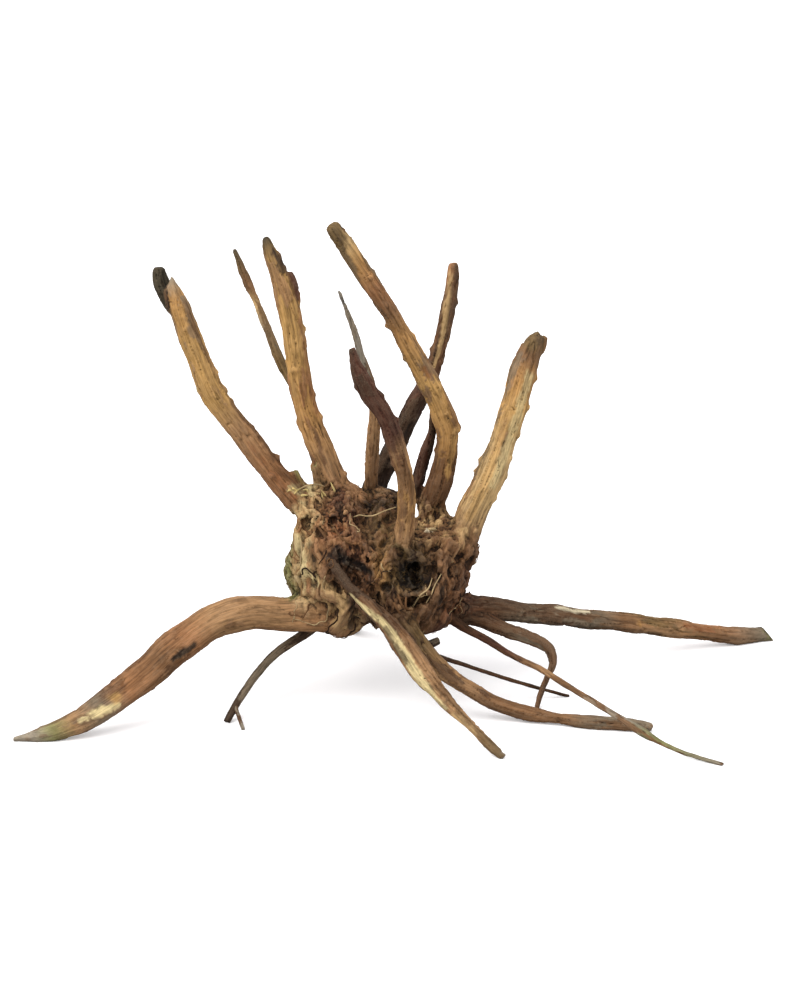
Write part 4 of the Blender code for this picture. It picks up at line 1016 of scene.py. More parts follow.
@dataclass
class Relief:
    """How far the skin stands out or in: lumps on the ball, grain, bark and cracks on the limbs.

    An edge is two numbers: where a share starts to rise from 0 and where it has reached 1.
    """

    ball_centre: tuple[float, ...] = (-11, 0, 93)
    ball_half: tuple[float, ...] = (60, 44, 42)
    shoulder_centre: tuple[float, ...] = (-50, -8, 128)
    shoulder_half: tuple[float, ...] = (21, 26, 21)
    ball_edge: tuple[float, float] = (-1.4, -1.05)
    least_zone: float = 1e-6

    furrow_flow: Flow = Flow(6.0, 22.0, 11)
    lumps: Pattern = Pattern(13.0, 11, 1.35)
    ribs: Pattern = Pattern(6.5, 15, 2.6)
    furrow_depth: float = 6.2
    lump_part: float = 0.55
    rib_part: float = 0.35
    furrow_sink: float = 0.12
    calm_edge: tuple[float, float] = (-1.9, -1.2)
    calm_in_hollows: float = 0.4
    swelling: Pattern = Pattern(24.0, 23)
    swell_height: float = 1.2

    flake_flow: Flow = Flow(3.5, 11.0, 80)
    flakes: Pattern = Pattern(5.4, 184, 1.6)
    flake_height: float = 1.15
    flake_groove: float = 0.7
    flake_part: float = 0.55
    chips: Pattern = Pattern(2.7, 85, 1.6)
    chip_height: float = 0.5
    chip_groove: float = 0.6
    chip_part: float = 0.45
    groove_edge: tuple[float, float] = (-0.2, 0.0)
    breaks: Pattern = Pattern(6.0, 87)
    break_mean: float = 0.55
    break_range: float = 1.4
    break_most: float = 1.3
    strand_flow: Flow = Flow(3.0, 12.0, 82)
    strands: Pattern = Pattern(1.7, 86, 5.0)
    strand_height: float = 0.3

    bark_areas: Pattern = Pattern((8, 8, 34), 61)
    bark_spots: Pattern = Pattern((3, 3, 11), 62)
    bark_spot_part: float = 0.45
    bark_rags: Pattern = Pattern(1.9, 63)
    bark_rag_part: float = 0.2
    bark_cover_part: float = 1.3
    bark_edge: tuple[float, float] = (-0.02, 0.12)
    bark_height: float = 0.4

    wander: Pattern = Pattern(15.0, 70)
    wander_reach: float = 1.2
    fibres: Pattern = Pattern((2.4, 2.4, 32), 71)
    fibre_part: float = 0.6
    threads: Pattern = Pattern((1.5, 1.5, 15), 72)
    thread_part: float = 0.4
    fibre_height: float = 0.34
    cracks: Pattern = Pattern((5.2, 5.2, 62), 73)
    crack_edge: tuple[float, float] = (0.86, 0.99)
    crack_depth: float = 0.7
    bumps: Pattern = Pattern(4.2, 74)
    bump_height: float = 0.22

    def ball_share(self, points: Array) -> Array:
        """1 on the ball and on its left shoulder, falling to 0 a little way out along the limbs."""
        ball = np.linalg.norm((points - self.ball_centre) / self.ball_half, axis=1)
        shoulder = np.linalg.norm((points - self.shoulder_centre) / self.shoulder_half, axis=1)
        return step_up(-np.minimum(ball, shoulder), *self.ball_edge)

    def hollow_share(self, points: Array, edge: tuple[float, float]) -> Array:
        """1 inside the carved hollows, falling to 0 outside them over the edge's two shares of their size."""
        share = np.zeros(len(points))
        for centre, half, turn in HOLLOWS:
            turned = np.array(Matrix.Rotation(math.radians(-turn), 3, "Y"))
            reach = np.linalg.norm(((points - np.array(centre)) @ turned.T) / half, axis=1)
            share = np.maximum(share, step_up(-reach, *edge))
        return share

    def zone_shares(self, points: Array) -> tuple[Array, Array]:
        """How much each zone counts at each point, in bell curves that add up to 1, and the roughness."""
        away = [np.sum(((points - zone.centre) / zone.half) ** 2, axis=1) for zone in ZONES]
        share = np.exp(-np.column_stack(away)) + self.least_zone
        share /= share.sum(axis=1, keepdims=True)
        return share, share @ np.array([zone.rough for zone in ZONES])

    def broad(self, points: Array) -> Array:
        """Broad lumps with ribs that flow down between them on the ball, a slow swelling on the limbs."""
        bent = self.furrow_flow.of(points)
        lumps, ribs = self.lumps.smooth(bent), self.ribs.ridges(bent)
        furrows = self.furrow_depth * (self.lump_part * lumps + self.rib_part * ribs - self.furrow_sink)
        furrows *= 1 - self.calm_in_hollows * self.hollow_share(points, self.calm_edge)
        swell = self.swell_height * self.swelling.smooth(points)
        return mix(swell, furrows, self.ball_share(points))

    def flaked(self, points: Array) -> tuple[Array, Array]:
        """Big and small flakes on the ball, with broken grooves between them.

        Args:
            points: Places, one row each.

        Returns:
            The height at each place, and a random number from 0 to 1 that its flakes share.
        """
        flow = self.flake_flow.of(points)
        level, edge, pick = self.flakes.flakes(flow)
        chip_level, chip_edge, chip_pick = self.chips.flakes(flow)
        broken = np.clip(self.break_mean + self.break_range * self.breaks.smooth(points), 0, self.break_most)
        height = self.flake_height * (level - self.flake_groove * broken * step_up(-edge, *self.groove_edge))
        height += self.chip_height * (chip_level
                                      - self.chip_groove * broken * step_up(-chip_edge, *self.groove_edge))
        return height, self.flake_part * pick + self.chip_part * chip_pick

    def bark(self, points: Array, reading: Reading, cover: Array) -> Array:
        """1 where bark is left and 0 where it has peeled: long noise cut off at the cover's level."""
        spots = self.bark_spot_part * self.bark_spots.smooth(reading.along)
        ragged = self.bark_rag_part * self.bark_rags.smooth(points)
        peeled = self.bark_areas.smooth(reading.along) + spots + ragged
        return step_up(peeled + self.bark_cover_part * (cover - 0.5), *self.bark_edge)

    def fine(self, points: Array, reading: Reading, bark: Array, grain: Array) -> Array:
        """Fibres and cracks that run along each limb, bark edges, and flakes on the ball.

        Args:
            points: Places on the skin.
            reading: What the limbs say about them.
            bark: The share of bark at each.
            grain: How deep the limb's grain is at each.

        Returns:
            The height to add along each normal.
        """
        wander = reading.along + self.wander_reach * self.wander.smooth(points)[:, None] * (1, 1, 0)
        fibres = self.fibre_part * self.fibres.ridges(wander) + self.thread_part * self.threads.ridges(wander)
        cracks = step_up(self.cracks.ridges(wander), *self.crack_edge)
        bumps = self.bumps.smooth(points)
        limb = (grain * (self.fibre_height * (fibres - RIDGE_MEAN) - self.crack_depth * cracks)
                + self.bark_height * (bark - 0.5) + self.bump_height * bumps)
        strands = self.strands.ridges(self.strand_flow.of(points))
        ball = (self.zone_shares(points)[1] * self.flaked(points)[0]
                + self.strand_height * (strands - RIDGE_MEAN))
        return mix(limb, ball, self.ball_share(points))


@dataclass
class Colouring:
    """Works out the tint of every point from its limb, the ball, the patches, which include painted shade and
    painted light, and painted shade in the hollows.
    """

    field_of_limbs: LimbField
    relief: Relief
    ball_most: float = 0.9
    bark_most: float = 0.85
    hollow_shade_most: float = 0.9
    hollow_shade_edge: tuple[float, float] = (-1.35, -0.95)
    cloud_flow: Flow = Flow(4.0, 14.0, 30)
    clouds: Pattern = Pattern(7.0, 31, 1.8)
    cloud_contrast: float = 0.28
    flake_contrast: float = 1.1
    tone_places: tuple[float, ...] = (0.1, 0.5, 0.95)
    patch_step: float = 1.5
    patch_margin: float = 14
    patch_rags: Pattern = Pattern((2.5, 2.5, 4.0), 91)
    patch_specks: Pattern = Pattern(1.2, 92)
    speck_part: float = 0.5
    patch_edge: tuple[float, float] = (-1.15, -0.75)

    def patch_share(self, patch: Patch, points: Array) -> Array:
        """How much of a patch covers each point: the distance to its route over its half width."""
        route = smooth_route(patch.rows, self.patch_step)
        low = route[:, :3].min(axis=0) - self.patch_margin
        high = route[:, :3].max(axis=0) + self.patch_margin
        share = np.zeros(len(points))
        near = np.flatnonzero(np.all((points > low) & (points < high), axis=1))
        if len(near):
            some = points[near]
            away = np.linalg.norm(some[:, None] - route[None, :, :3], axis=2) / route[None, :, 3]
            ragged = self.patch_rags.smooth(some) + self.speck_part * self.patch_specks.smooth(some)
            reach = away.min(axis=1) + patch.ragged * ragged
            share[near] = patch.strength * step_up(-reach, *self.patch_edge)
        return share

    def ball_tint(self, points: Array) -> Array:
        """Each zone's tones from dark to light, picked by the flake and by soft clouds."""
        cloud = self.clouds.smooth(self.cloud_flow.of(points))
        flake = self.relief.flaked(points)[1] - 0.5
        pick = np.clip(0.5 + self.flake_contrast * flake + self.cloud_contrast * cloud, 0, 1)
        shares = self.relief.zone_shares(points)[0]
        tint = np.zeros((len(points), 3))
        for zone, share in zip(ZONES, shares.T):
            ramp = tuple(zip(self.tone_places, zone.tones))
            tint += share[:, None] * blend_stops(ramp, pick)
        return tint

    def tint(self, points: Array, reading: Reading) -> tuple[Array, Array]:
        """The colour of each point as light amounts, and the share of bark there."""
        wood, bark_tint = self.field_of_limbs.tones(reading)
        cover, _, own = self.field_of_limbs.covers(reading)
        bark = self.relief.bark(points, reading, cover)
        tint = mix(wood, bark_tint, self.bark_most * bark)
        ball = self.relief.ball_share(points)
        tint = mix(tint, self.ball_tint(points), ball * self.ball_most * (1 - own))
        for patch in PATCHES:
            tint = mix(tint, patch.tone.linear()[None], self.patch_share(patch, points))
        # Painted shade: the carved hollows are tinted near-black.
        hollow_shade = self.hollow_shade_most * self.relief.hollow_share(points, self.hollow_shade_edge) * ball
        return mix(tint, DEEP_SHADE.linear()[None], hollow_shade), bark


@dataclass
class Stump:
    """The merged skin of the ball, the branches and the thicker roots."""

    relief: Relief
    colouring: Colouring
    coarse_grid: float = 1.3
    fine_grid: float = 0.85
    crease_passes: int = 5
    calm_passes: int = 2
    hollow_rags: Pattern = Pattern(6.0, 41)
    hollow_ragged: float = 2.2
    triangles: int = 190000
    bud_lean: float = 0.35
    bud_taper: tuple[float, float] = (1.7, 0.8)
    stub_spacing: float = 30.0
    stub_scatter: tuple[float, float] = (0.6, 1.4)
    stub_reach: tuple[float, float] = (1.2, 2.8)
    stub_radius: tuple[float, float] = (1.8, 2.8)
    stub_least_branch: float = 4.5
    stub_seed: int = 5

    def add_bud(self, shell: Shell, route: Array, station: int, turn: float, reach: float,
                radius: float) -> None:
        """Grow a short tapered stub out of the branch at one station of its route."""
        forward = unit(route[station + 1, :3] - route[station - 1, :3])
        outward = np.array((math.cos(turn), math.sin(turn), 0.0))
        outward = unit(outward - forward * (outward @ forward))
        tip = route[station, :3] + unit(outward + forward * self.bud_lean) * (route[station, 3] + reach)
        wide, narrow = self.bud_taper
        shell.add_tube([(*route[station, :3], radius * wide), (*tip, radius * narrow)], sides=12, step=1.5)

    def add_buds(self, shell: Shell, limb: Limb, rng: random.Random) -> None:
        """Add a branch's own buds, and a few more at places that the seed settles."""
        route = smooth_route(limb.rows, 1.0)
        for height, degrees, reach, radius in BUDS.get(limb.name, []):
            nearest = int(np.argmin(np.abs(route[:, 2] - height)))
            inner = min(max(nearest, 1), len(route) - 2)
            self.add_bud(shell, route, inner, math.radians(degrees), reach, radius)
        station = self.stub_spacing
        while station < len(route) - self.stub_spacing:
            if route[int(station), 3] > self.stub_least_branch:
                turn = rng.uniform(0, 2 * math.pi)
                self.add_bud(shell, route, int(station), turn, rng.uniform(*self.stub_reach),
                             rng.uniform(*self.stub_radius))
            station += self.stub_spacing * rng.uniform(*self.stub_scatter)

    def merged(self) -> Surface:
        """Merge the lumps, ridges, branches and roots into one skin and carve the hollows."""
        shell = Shell()
        for centre, half in LUMPS:
            shell.add_egg(centre, half)
        rng = random.Random(self.stub_seed)
        for limb in BRANCHES:
            shell.add_tube(limb.rows)
            self.add_buds(shell, limb, rng)
        for limb in SPURS + SPLINTERS + ROOTS + RIDGES:
            shell.add_tube(limb.rows)
        skin = Surface(shell.to_object("stump_skin"))
        skin.remesh(self.coarse_grid)
        cutter = Shell()
        for centre, half, turn in HOLLOWS:
            cutter.add_egg(centre, half, turn)
        hollows = Surface(cutter.to_object("hollows"))
        hollows.remesh(self.coarse_grid)
        hollows.push(self.hollow_ragged * self.hollow_rags.smooth(hollows.read("co")))
        skin.carve(hollows.target)
        skin.round_creases(self.crease_passes)
        return skin

    def weather(self, skin: Surface) -> None:
        """Give the skin its furrows, then its fibres, cracks and bark edges on a finer grid."""
        skin.push(self.relief.broad(skin.read("co")))
        skin.remesh(self.fine_grid)
        skin.move(skin.neighbour_means().smoothed(skin.read("co"), self.calm_passes))
        points = skin.read("co")
        reading = self.colouring.field_of_limbs.read(points)
        cover, grain, _ = self.colouring.field_of_limbs.covers(reading)
        skin.push(self.relief.fine(points, reading, self.relief.bark(points, reading, cover), grain))
        LOG.info("weathered skin has %d points", len(points))

    def build(self) -> bpy.types.Object:
        """Make the whole skin with its colours.

        Returns:
            The skin, in the frame's metres.
        """
        skin = self.merged()
        self.weather(skin)
        skin.thin(self.triangles)
        skin.move(trimmed(skin.read("co")))
        dress(skin, self.colouring, Wear(skin).values())
        return placed(skin)


@dataclass
class Wear:
    """How far each point stands out of its surroundings: crests wear pale, and creases get painted shade."""

    skin: Surface
    near_passes: int = 4
    near_height: float = 0.35
    far_passes: int = 36
    far_height: float = 1.6
    part: float = 0.5
    most: float = 1.5

    def values(self) -> Array:
        """Above 0 on crests and below 0 in creases, from two sizes of surroundings."""
        means = self.skin.neighbour_means()
        points, normals = self.skin.read("co"), self.skin.read("normal")
        near = np.sum((points - means.smoothed(points, self.near_passes)) * normals, axis=1)
        far = np.sum((points - means.smoothed(points, self.far_passes)) * normals, axis=1)
        wear_and_crease_shade = near / self.near_height * self.part + far / self.far_height * self.part
        return np.clip(wear_and_crease_shade, -self.most, self.most)


def trimmed(points: Array) -> Array:
    """Slide the right root's end back onto its slanted cut, and keep every point in the node's box."""
    facing, travel = unit(CUT_FACING), unit(CUT_TRAVEL)
    past = (points - CUT_PLACE) @ facing
    near = (np.linalg.norm(points - CUT_PLACE, axis=1) < CUT_REACH) & (past > 0)
    points = points - np.where(near, past / (travel @ facing), 0)[:, None] * travel
    low, high = (np.array(corner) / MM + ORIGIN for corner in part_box(NODE))
    return np.clip(points, low, high)


def dress(skin: Surface, colouring: Colouring, wear_and_crease_shade: Array) -> None:
    """Store what the wood's finish reads: tint, place along the limb, ball share, wear with crease shade, and
    bark.
    """
    points = skin.read("co")
    reading = colouring.field_of_limbs.read(points)
    tint, bark = colouring.tint(points, reading)
    skin.write("tint", "FLOAT_COLOR", np.column_stack([tint, np.ones(len(tint))]))
    skin.write("along", "FLOAT_VECTOR", reading.along)
    skin.write("ball", "FLOAT", colouring.relief.ball_share(points))
    skin.write("wear_and_crease_shade", "FLOAT", wear_and_crease_shade)
    skin.write("bark", "FLOAT", bark)


def placed(skin: Surface) -> bpy.types.Object:
    """Put a finished mesh into the frame's metres and smooth its shading."""
    skin.move((skin.read("co") - ORIGIN) * MM)
    skin.mesh.shade_smooth()
    return skin.target


@dataclass
class ThinRoots:
    """Roots a few millimetres thick, each swept along its own route."""

    relief: Relief
    sides: int = 24
    step: float = 0.9
    field_step: float = 0.8
    ball_most: float = 0.3
    wrinkles: Pattern = Pattern((1.3, 1.3, 7), 51)
    wrinkle_height: float = 0.10
    wrinkle_wear_and_shade: float = 0.6
    knots: Pattern = Pattern((4, 4, 7), 52)
    knot_height: float = 0.22

    def build_one(self, limb: Limb) -> bpy.types.Object:
        """Sweep one root, wrinkle its bark and colour it.

        Args:
            limb: The root.

        Returns:
            The root, in the frame's metres.
        """
        shell = Shell()
        shell.add_tube(limb.rows, self.sides, self.step)
        root = Surface(shell.to_object(limb.name))
        colouring = Colouring(LimbField((limb,), self.field_step), self.relief, self.ball_most)
        reading = colouring.field_of_limbs.read(root.read("co"))
        wrinkles = self.wrinkles.ridges(reading.along) - RIDGE_MEAN
        root.push(self.wrinkle_height * wrinkles + self.knot_height * self.knots.smooth(reading.along))
        root.move(trimmed(root.read("co")))
        # The wrinkles' crests wear pale, and their dips are darkened as painted shade.
        dress(root, colouring, np.clip(self.wrinkle_wear_and_shade * wrinkles, -1, 1))
        return placed(root)

    def build(self) -> list[bpy.types.Object]:
        """Make all the thin roots."""
        return [self.build_one(limb) for limb in THIN_ROOTS]


@dataclass(frozen=True)
class FibreKind:
    """Fibres of one colour: how many creep over the ball, how thick and long they are, and the set ones."""

    name: str
    tone: Tone
    count: int
    radius: tuple[float, float]
    length: tuple[float, float]
    laid: tuple[Rows, ...] = ()
    free: tuple[Rows, ...] = ()


@dataclass
class Fibres:
    """Fibres and rootlets that cling to the ball, each put down on the skin under it."""

    skin: bpy.types.Object
    relief: Relief
    sides: int = 6
    step: float = 0.9
    oval: float = 0.1
    flute: float = 0.12
    raised: float = 0.6
    start_height: tuple[float, float] = (-0.85, 0.8)
    start_out: float = 1.15
    start_sway: float = 0.6
    stride: float = 2.0
    lift: tuple[float, float] = (-0.2, 0.7)
    sway: float = 0.45
    sunk: float = 1.2
    taper: float = 0.5
    tip: float = 0.4
    seed: int = 29

    def __post_init__(self) -> None:
        """Make the search tree of the skin."""
        bpy.context.view_layer.update()
        self.tree = BVHTree.FromObject(self.skin, bpy.context.evaluated_depsgraph_get())

    def outward(self, place: Array) -> Array:
        """The way out of the ball at a place."""
        return unit((place - self.relief.ball_centre) / np.array(self.relief.ball_half) ** 2)

    def on_skin(self, place: Array) -> Array:
        """The nearest place on the skin, in millimetres."""
        return np.array(self.tree.find_nearest(Vector((place - ORIGIN) * MM))[0]) / MM + ORIGIN

    def laid(self, rows: Rows) -> Rows:
        """Put a set route down on the skin, with its two ends sunk in."""
        put_down = []
        for index, (*place, radius) in enumerate(rows):
            here = self.on_skin(np.array(place))
            is_end = index in (0, len(rows) - 1)
            here = here + self.outward(here) * (-radius if is_end else radius * self.raised)
            put_down.append((*here, radius))
        return put_down

    def crept(self, kind: FibreKind, rng: random.Random) -> Rows:
        """Let a fibre creep over the ball, mostly downwards.

        Args:
            kind: The kind of fibre.
            rng: Gives its start, its size and its bends.

        Returns:
            The fibre's route.
        """
        turn, height = rng.uniform(0, 2 * math.pi), rng.uniform(*self.start_height)
        level = math.sqrt(1 - height ** 2)
        way = np.array((level * math.cos(turn), level * math.sin(turn), height))
        half = self.start_out * np.array(self.relief.ball_half)
        place = self.on_skin(np.array(self.relief.ball_centre) + half * way)
        heading = unit(np.array((rng.gauss(0, self.start_sway), rng.gauss(0, self.start_sway), -1.0)))
        radius = rng.uniform(*kind.radius)
        count = max(3, round(rng.uniform(*kind.length) / self.stride))
        rows = [(*(place - self.outward(place) * self.sunk), radius)]
        for index in range(count):
            out = self.outward(place)
            heading = unit(heading + self.sway * np.array([rng.gauss(0, 1) for _ in range(3)]))
            heading = unit(heading - out * (heading @ out))
            place = self.on_skin(place + heading * self.stride + out)
            rows.append((*(place + out * rng.uniform(*self.lift)), radius * (1 - self.taper * index / count)))
        return rows + [(*(place - self.outward(place) * self.sunk + heading), radius * self.tip)]

    def build(self, kind: FibreKind) -> bpy.types.Object:
        """Make all the fibres of one kind.

        Args:
            kind: The kind of fibre.

        Returns:
            One piece, in the frame's metres.
        """
        rng = random.Random(f"{kind.name}{self.seed}")
        shell = Shell()
        routes = [self.crept(kind, rng) for _ in range(kind.count)]
        routes += [self.laid(rows) for rows in kind.laid] + list(kind.free)
        for rows in routes:
            shell.add_tube(rows, self.sides, self.step, self.oval, self.flute)
        made = Surface(shell.to_object(kind.name))
        plain_dress(made, kind.tone)
        return placed(made)


def plain_dress(surface: Surface, tone: Tone) -> None:
    """Store a tone that changes slowly over the piece, and no wear, crease shade or bark."""
    points = surface.read("co")
    tint = tone.linear() * (1 + SLOW_TINT_RANGE * SLOW_TINT.smooth(points))[:, None]
    surface.write("tint", "FLOAT_COLOR", np.column_stack([tint, np.ones(len(tint))]))
    surface.write("along", "FLOAT_VECTOR", points)
    for name in ("ball", "wear_and_crease_shade", "bark"):
        surface.write(name, "FLOAT", np.zeros(len(points)))


@dataclass
class Moss:
    """Dry moss: short blades that stand on the skin where it is dark and green."""

    skin: bpy.types.Object
    relief: Relief
    count: int = 2600
    length: tuple[float, float] = (0.8, 2.6)
    radius: float = 0.22
    sunk: float = 0.3
    lean: float = 0.7
    clumps: Pattern = Pattern(5.0, 97)
    clump_edge: tuple[float, float] = (0.0, 0.4)
    seed: int = 31
    zones: tuple[str, ...] = ("shaded_recess_top", "green_rim", "hollow_rim", "left_edge", "low_middle")

    def build(self) -> bpy.types.Object:
        """Grow the blades: each is three base points round a skin point and a tip along its leaning normal.

        Returns:
            One piece, in the frame's metres.
        """
        skin = Surface(self.skin)
        points = skin.read("co") / MM + ORIGIN
        normals = skin.read("normal")
        shares = self.relief.zone_shares(points)[0]
        picked = [index for index, zone in enumerate(ZONES) if zone.name in self.zones]
        clumps = step_up(self.clumps.smooth(points), *self.clump_edge)
        weight = shares[:, picked].sum(axis=1) ** 2 * clumps * self.relief.ball_share(points)
        rng = np.random.default_rng(self.seed)
        chosen = rng.choice(len(points), self.count, p=weight / weight.sum())
        base, normal = points[chosen], normals[chosen]
        lean = unit(normal + self.lean * rng.normal(size=normal.shape))
        side = unit(np.cross(lean, rng.normal(size=normal.shape)))
        other = np.cross(lean, side)
        tall = rng.uniform(*self.length, size=(self.count, 1))
        corners = [base - self.sunk * normal + self.radius * (math.cos(turn) * side + math.sin(turn) * other)
                   for turn in (0.0, 2 * math.pi / 3, 4 * math.pi / 3)]
        blades = np.stack([*corners, base + lean * tall], axis=1).reshape(-1, 3)
        start = 4 * np.arange(self.count)[:, None, None]
        faces = (start + np.array([[0, 2, 1], [0, 1, 3], [1, 2, 3], [2, 0, 3]])[None]).reshape(-1, 3)
        shell = Shell([blades], [faces], len(blades))
        made = Surface(shell.to_object("dry_moss"))
        plain_dress(made, OLIVE)
        return placed(made)


FIBRE_KINDS = (
    FibreKind("pale_fibres", FIBRE, 30, (0.28, 0.45), (12, 34), laid=(
        [(9, -37, 75, 0.5), (12, -43, 81, 0.6), (15, -48, 87, 0.6), (20, -45, 92, 0.5), (23, -37, 95, 0.4)],
        [(18, -44, 80, 0.4), (21, -44, 86, 0.5), (25, -45, 93, 0.45), (28, -40, 98, 0.35)],
        [(19, -13, 122, 0.8), (23, -14, 124, 1.3), (27, -15, 124.5, 0.8)],
        [(-67, -26, 122, 0.5), (-66, -28, 112, 0.8), (-64, -30, 102, 0.7), (-60, -35, 93, 0.4)],
    ), free=(
        [(-31, -20, 133, 0.4), (-27, -20, 134.5, 0.5), (-22, -19, 133.5, 0.5), (-17, -19, 134, 0.5),
         (-10, -24, 138.5, 0.5), (-2, -40, 146, 0.4)],
        [(-68, -13, 151, 0.5), (-62, -14, 154, 0.55), (-56, -12, 154, 0.5), (-51, -6, 151, 0.4)],
    )),
    FibreKind("yellow_chips", YELLOW, 0, (0.4, 0.6), (4, 6), laid=(
        [(-73, -18, 153, 0.5), (-71, -17, 152, 1.1), (-69, -17, 151, 0.4)],
        [(-70, -20, 150, 0.4), (-68, -17, 151, 1.0), (-67, -14, 152, 0.4)],
        [(-67, -19, 148, 0.4), (-65, -18, 149, 1.0), (-63, -18, 148, 0.4)],
        [(-65, -15, 152, 0.3), (-63, -14, 151, 0.8), (-62, -15, 149, 0.3)],
        [(-76, -21, 151, 0.3), (-74, -20, 152, 0.8), (-73, -18, 151, 0.3)],
        [(-55, -12, 149, 0.4), (-54, -11, 147, 1.0), (-52, -12, 145, 0.4)],
        [(-51, -9, 151, 0.3), (-49, -9, 149, 0.9), (-48, -9, 147, 0.3)],
        [(-58, -14, 146, 0.3), (-56, -14, 147, 0.7), (-54, -14, 148, 0.3)],
        [(-47, -8, 153, 0.3), (-46, -8, 150, 0.8), (-46, -8, 148, 0.3)],
    )),
    FibreKind("brown_rootlets", BROWN, 44, (0.35, 0.7), (10, 32), laid=(
        [(0, -48, 86, 0.7), (3, -49, 81, 0.9), (6, -49, 76, 0.6)],
        [(5, -47, 86, 0.6), (8, -48, 80, 0.8), (11, -47, 75, 0.5)],
        [(-4, -50, 84, 0.6), (-2, -51, 79, 0.9), (2, -52, 74, 0.6)],
        [(-55, -30, 130, 0.8), (-50, -34, 124, 1.1), (-47, -36, 116, 0.8)],
        [(-44, -30, 128, 0.7), (-38, -36, 122, 1.0), (-30, -40, 120, 0.7)],
    )),
    FibreKind("dark_rootlets", DARK, 40, (0.4, 0.8), (12, 36)),
)


class Tree:
    """Adds and links shader nodes in one node tree."""

    def __init__(self, tree: bpy.types.NodeTree) -> None:
        """Keep the tree and empty it."""
        self.tree = tree
        tree.nodes.clear()

    def add(self, kind: str, **settings: object) -> bpy.types.Node:
        """Add a node and set its properties."""
        node = self.tree.nodes.new(kind)
        for name, value in settings.items():
            setattr(node, name, value)
        return node

    def join(self, source: bpy.types.NodeSocket, target: bpy.types.NodeSocket) -> None:
        """Link two sockets."""
        self.tree.links.new(source, target)

    def put(self, target: bpy.types.NodeSocket, value: object) -> None:
        """Link a socket to the target, or set the target to a plain value."""
        if isinstance(value, bpy.types.NodeSocket):
            self.join(value, target)
        else:
            target.default_value = value

    def sum_of(self, operation: str, *values: object, clamp: bool = False) -> bpy.types.NodeSocket:
        """The result of a Math node."""
        node = self.add("ShaderNodeMath", operation=operation, use_clamp=clamp)
        for slot, value in zip(node.inputs, values):
            self.put(slot, value)
        return node.outputs[0]

    def product(self, vector: bpy.types.NodeSocket, other: object) -> bpy.types.NodeSocket:
        """A vector times another, part by part."""
        node = self.add("ShaderNodeVectorMath", operation="MULTIPLY")
        self.join(vector, node.inputs[0])
        self.put(node.inputs[1], other)
        return node.outputs[0]

    def noise(self, vector: bpy.types.NodeSocket, scale: float, detail: float, rough: float,
              bend: float = 0.0) -> bpy.types.NodeSocket:
        """The value of a Noise Texture."""
        node = self.add("ShaderNodeTexNoise")
        self.join(vector, node.inputs["Vector"])
        for name, value in (("Scale", scale), ("Detail", detail), ("Roughness", rough), ("Distortion", bend)):
            node.inputs[name].default_value = value
        return node.outputs[0]

    def ramp(self, value: bpy.types.NodeSocket, low: float, high: float, to_low: float = 0.0,
             to_high: float = 1.0) -> bpy.types.NodeSocket:
        """The value moved smoothly from one range to another, and held inside it."""
        node = self.add("ShaderNodeMapRange", interpolation_type="SMOOTHSTEP")
        for slot, number in zip(node.inputs, (value, low, high, to_low, to_high)):
            self.put(slot, number)
        return node.outputs[0]

    def blend(self, first: object, second: object, share: object,
              kind: str = "FLOAT") -> bpy.types.NodeSocket:
        """A Mix node's result, for floats or colours."""
        node = self.add("ShaderNodeMix", data_type=kind, clamp_factor=True)
        slots = {"FLOAT": (2, 3, 0), "RGBA": (6, 7, 2)}[kind]
        self.put(node.inputs[0], share)
        self.put(node.inputs[slots[0]], first)
        self.put(node.inputs[slots[1]], second)
        return node.outputs[slots[2]]


class Group:
    """A shader node group with named inputs and outputs."""

    def __init__(self, name: str, inputs: dict[str, str], outputs: dict[str, str]) -> None:
        """Make the group's sockets.

        Args:
            name: The group's name.
            inputs: Socket kind by input name.
            outputs: Socket kind by output name.
        """
        self.tree = bpy.data.node_groups.new(name, "ShaderNodeTree")
        for way, sockets in (("INPUT", inputs), ("OUTPUT", outputs)):
            for socket, kind in sockets.items():
                self.tree.interface.new_socket(name=socket, in_out=way, socket_type=f"NodeSocket{kind}")
        self.inside = Tree(self.tree)
        self.given = self.inside.add("NodeGroupInput").outputs
        self.result = self.inside.add("NodeGroupOutput").inputs

    def place(self, tree: Tree, **values: object) -> bpy.types.NodeOutputs:
        """Put the group in another tree with values or links for its inputs, and give its outputs."""
        node = tree.add("ShaderNodeGroup", node_tree=self.tree)
        for name, value in values.items():
            tree.put(node.inputs[name], value)
        return node.outputs


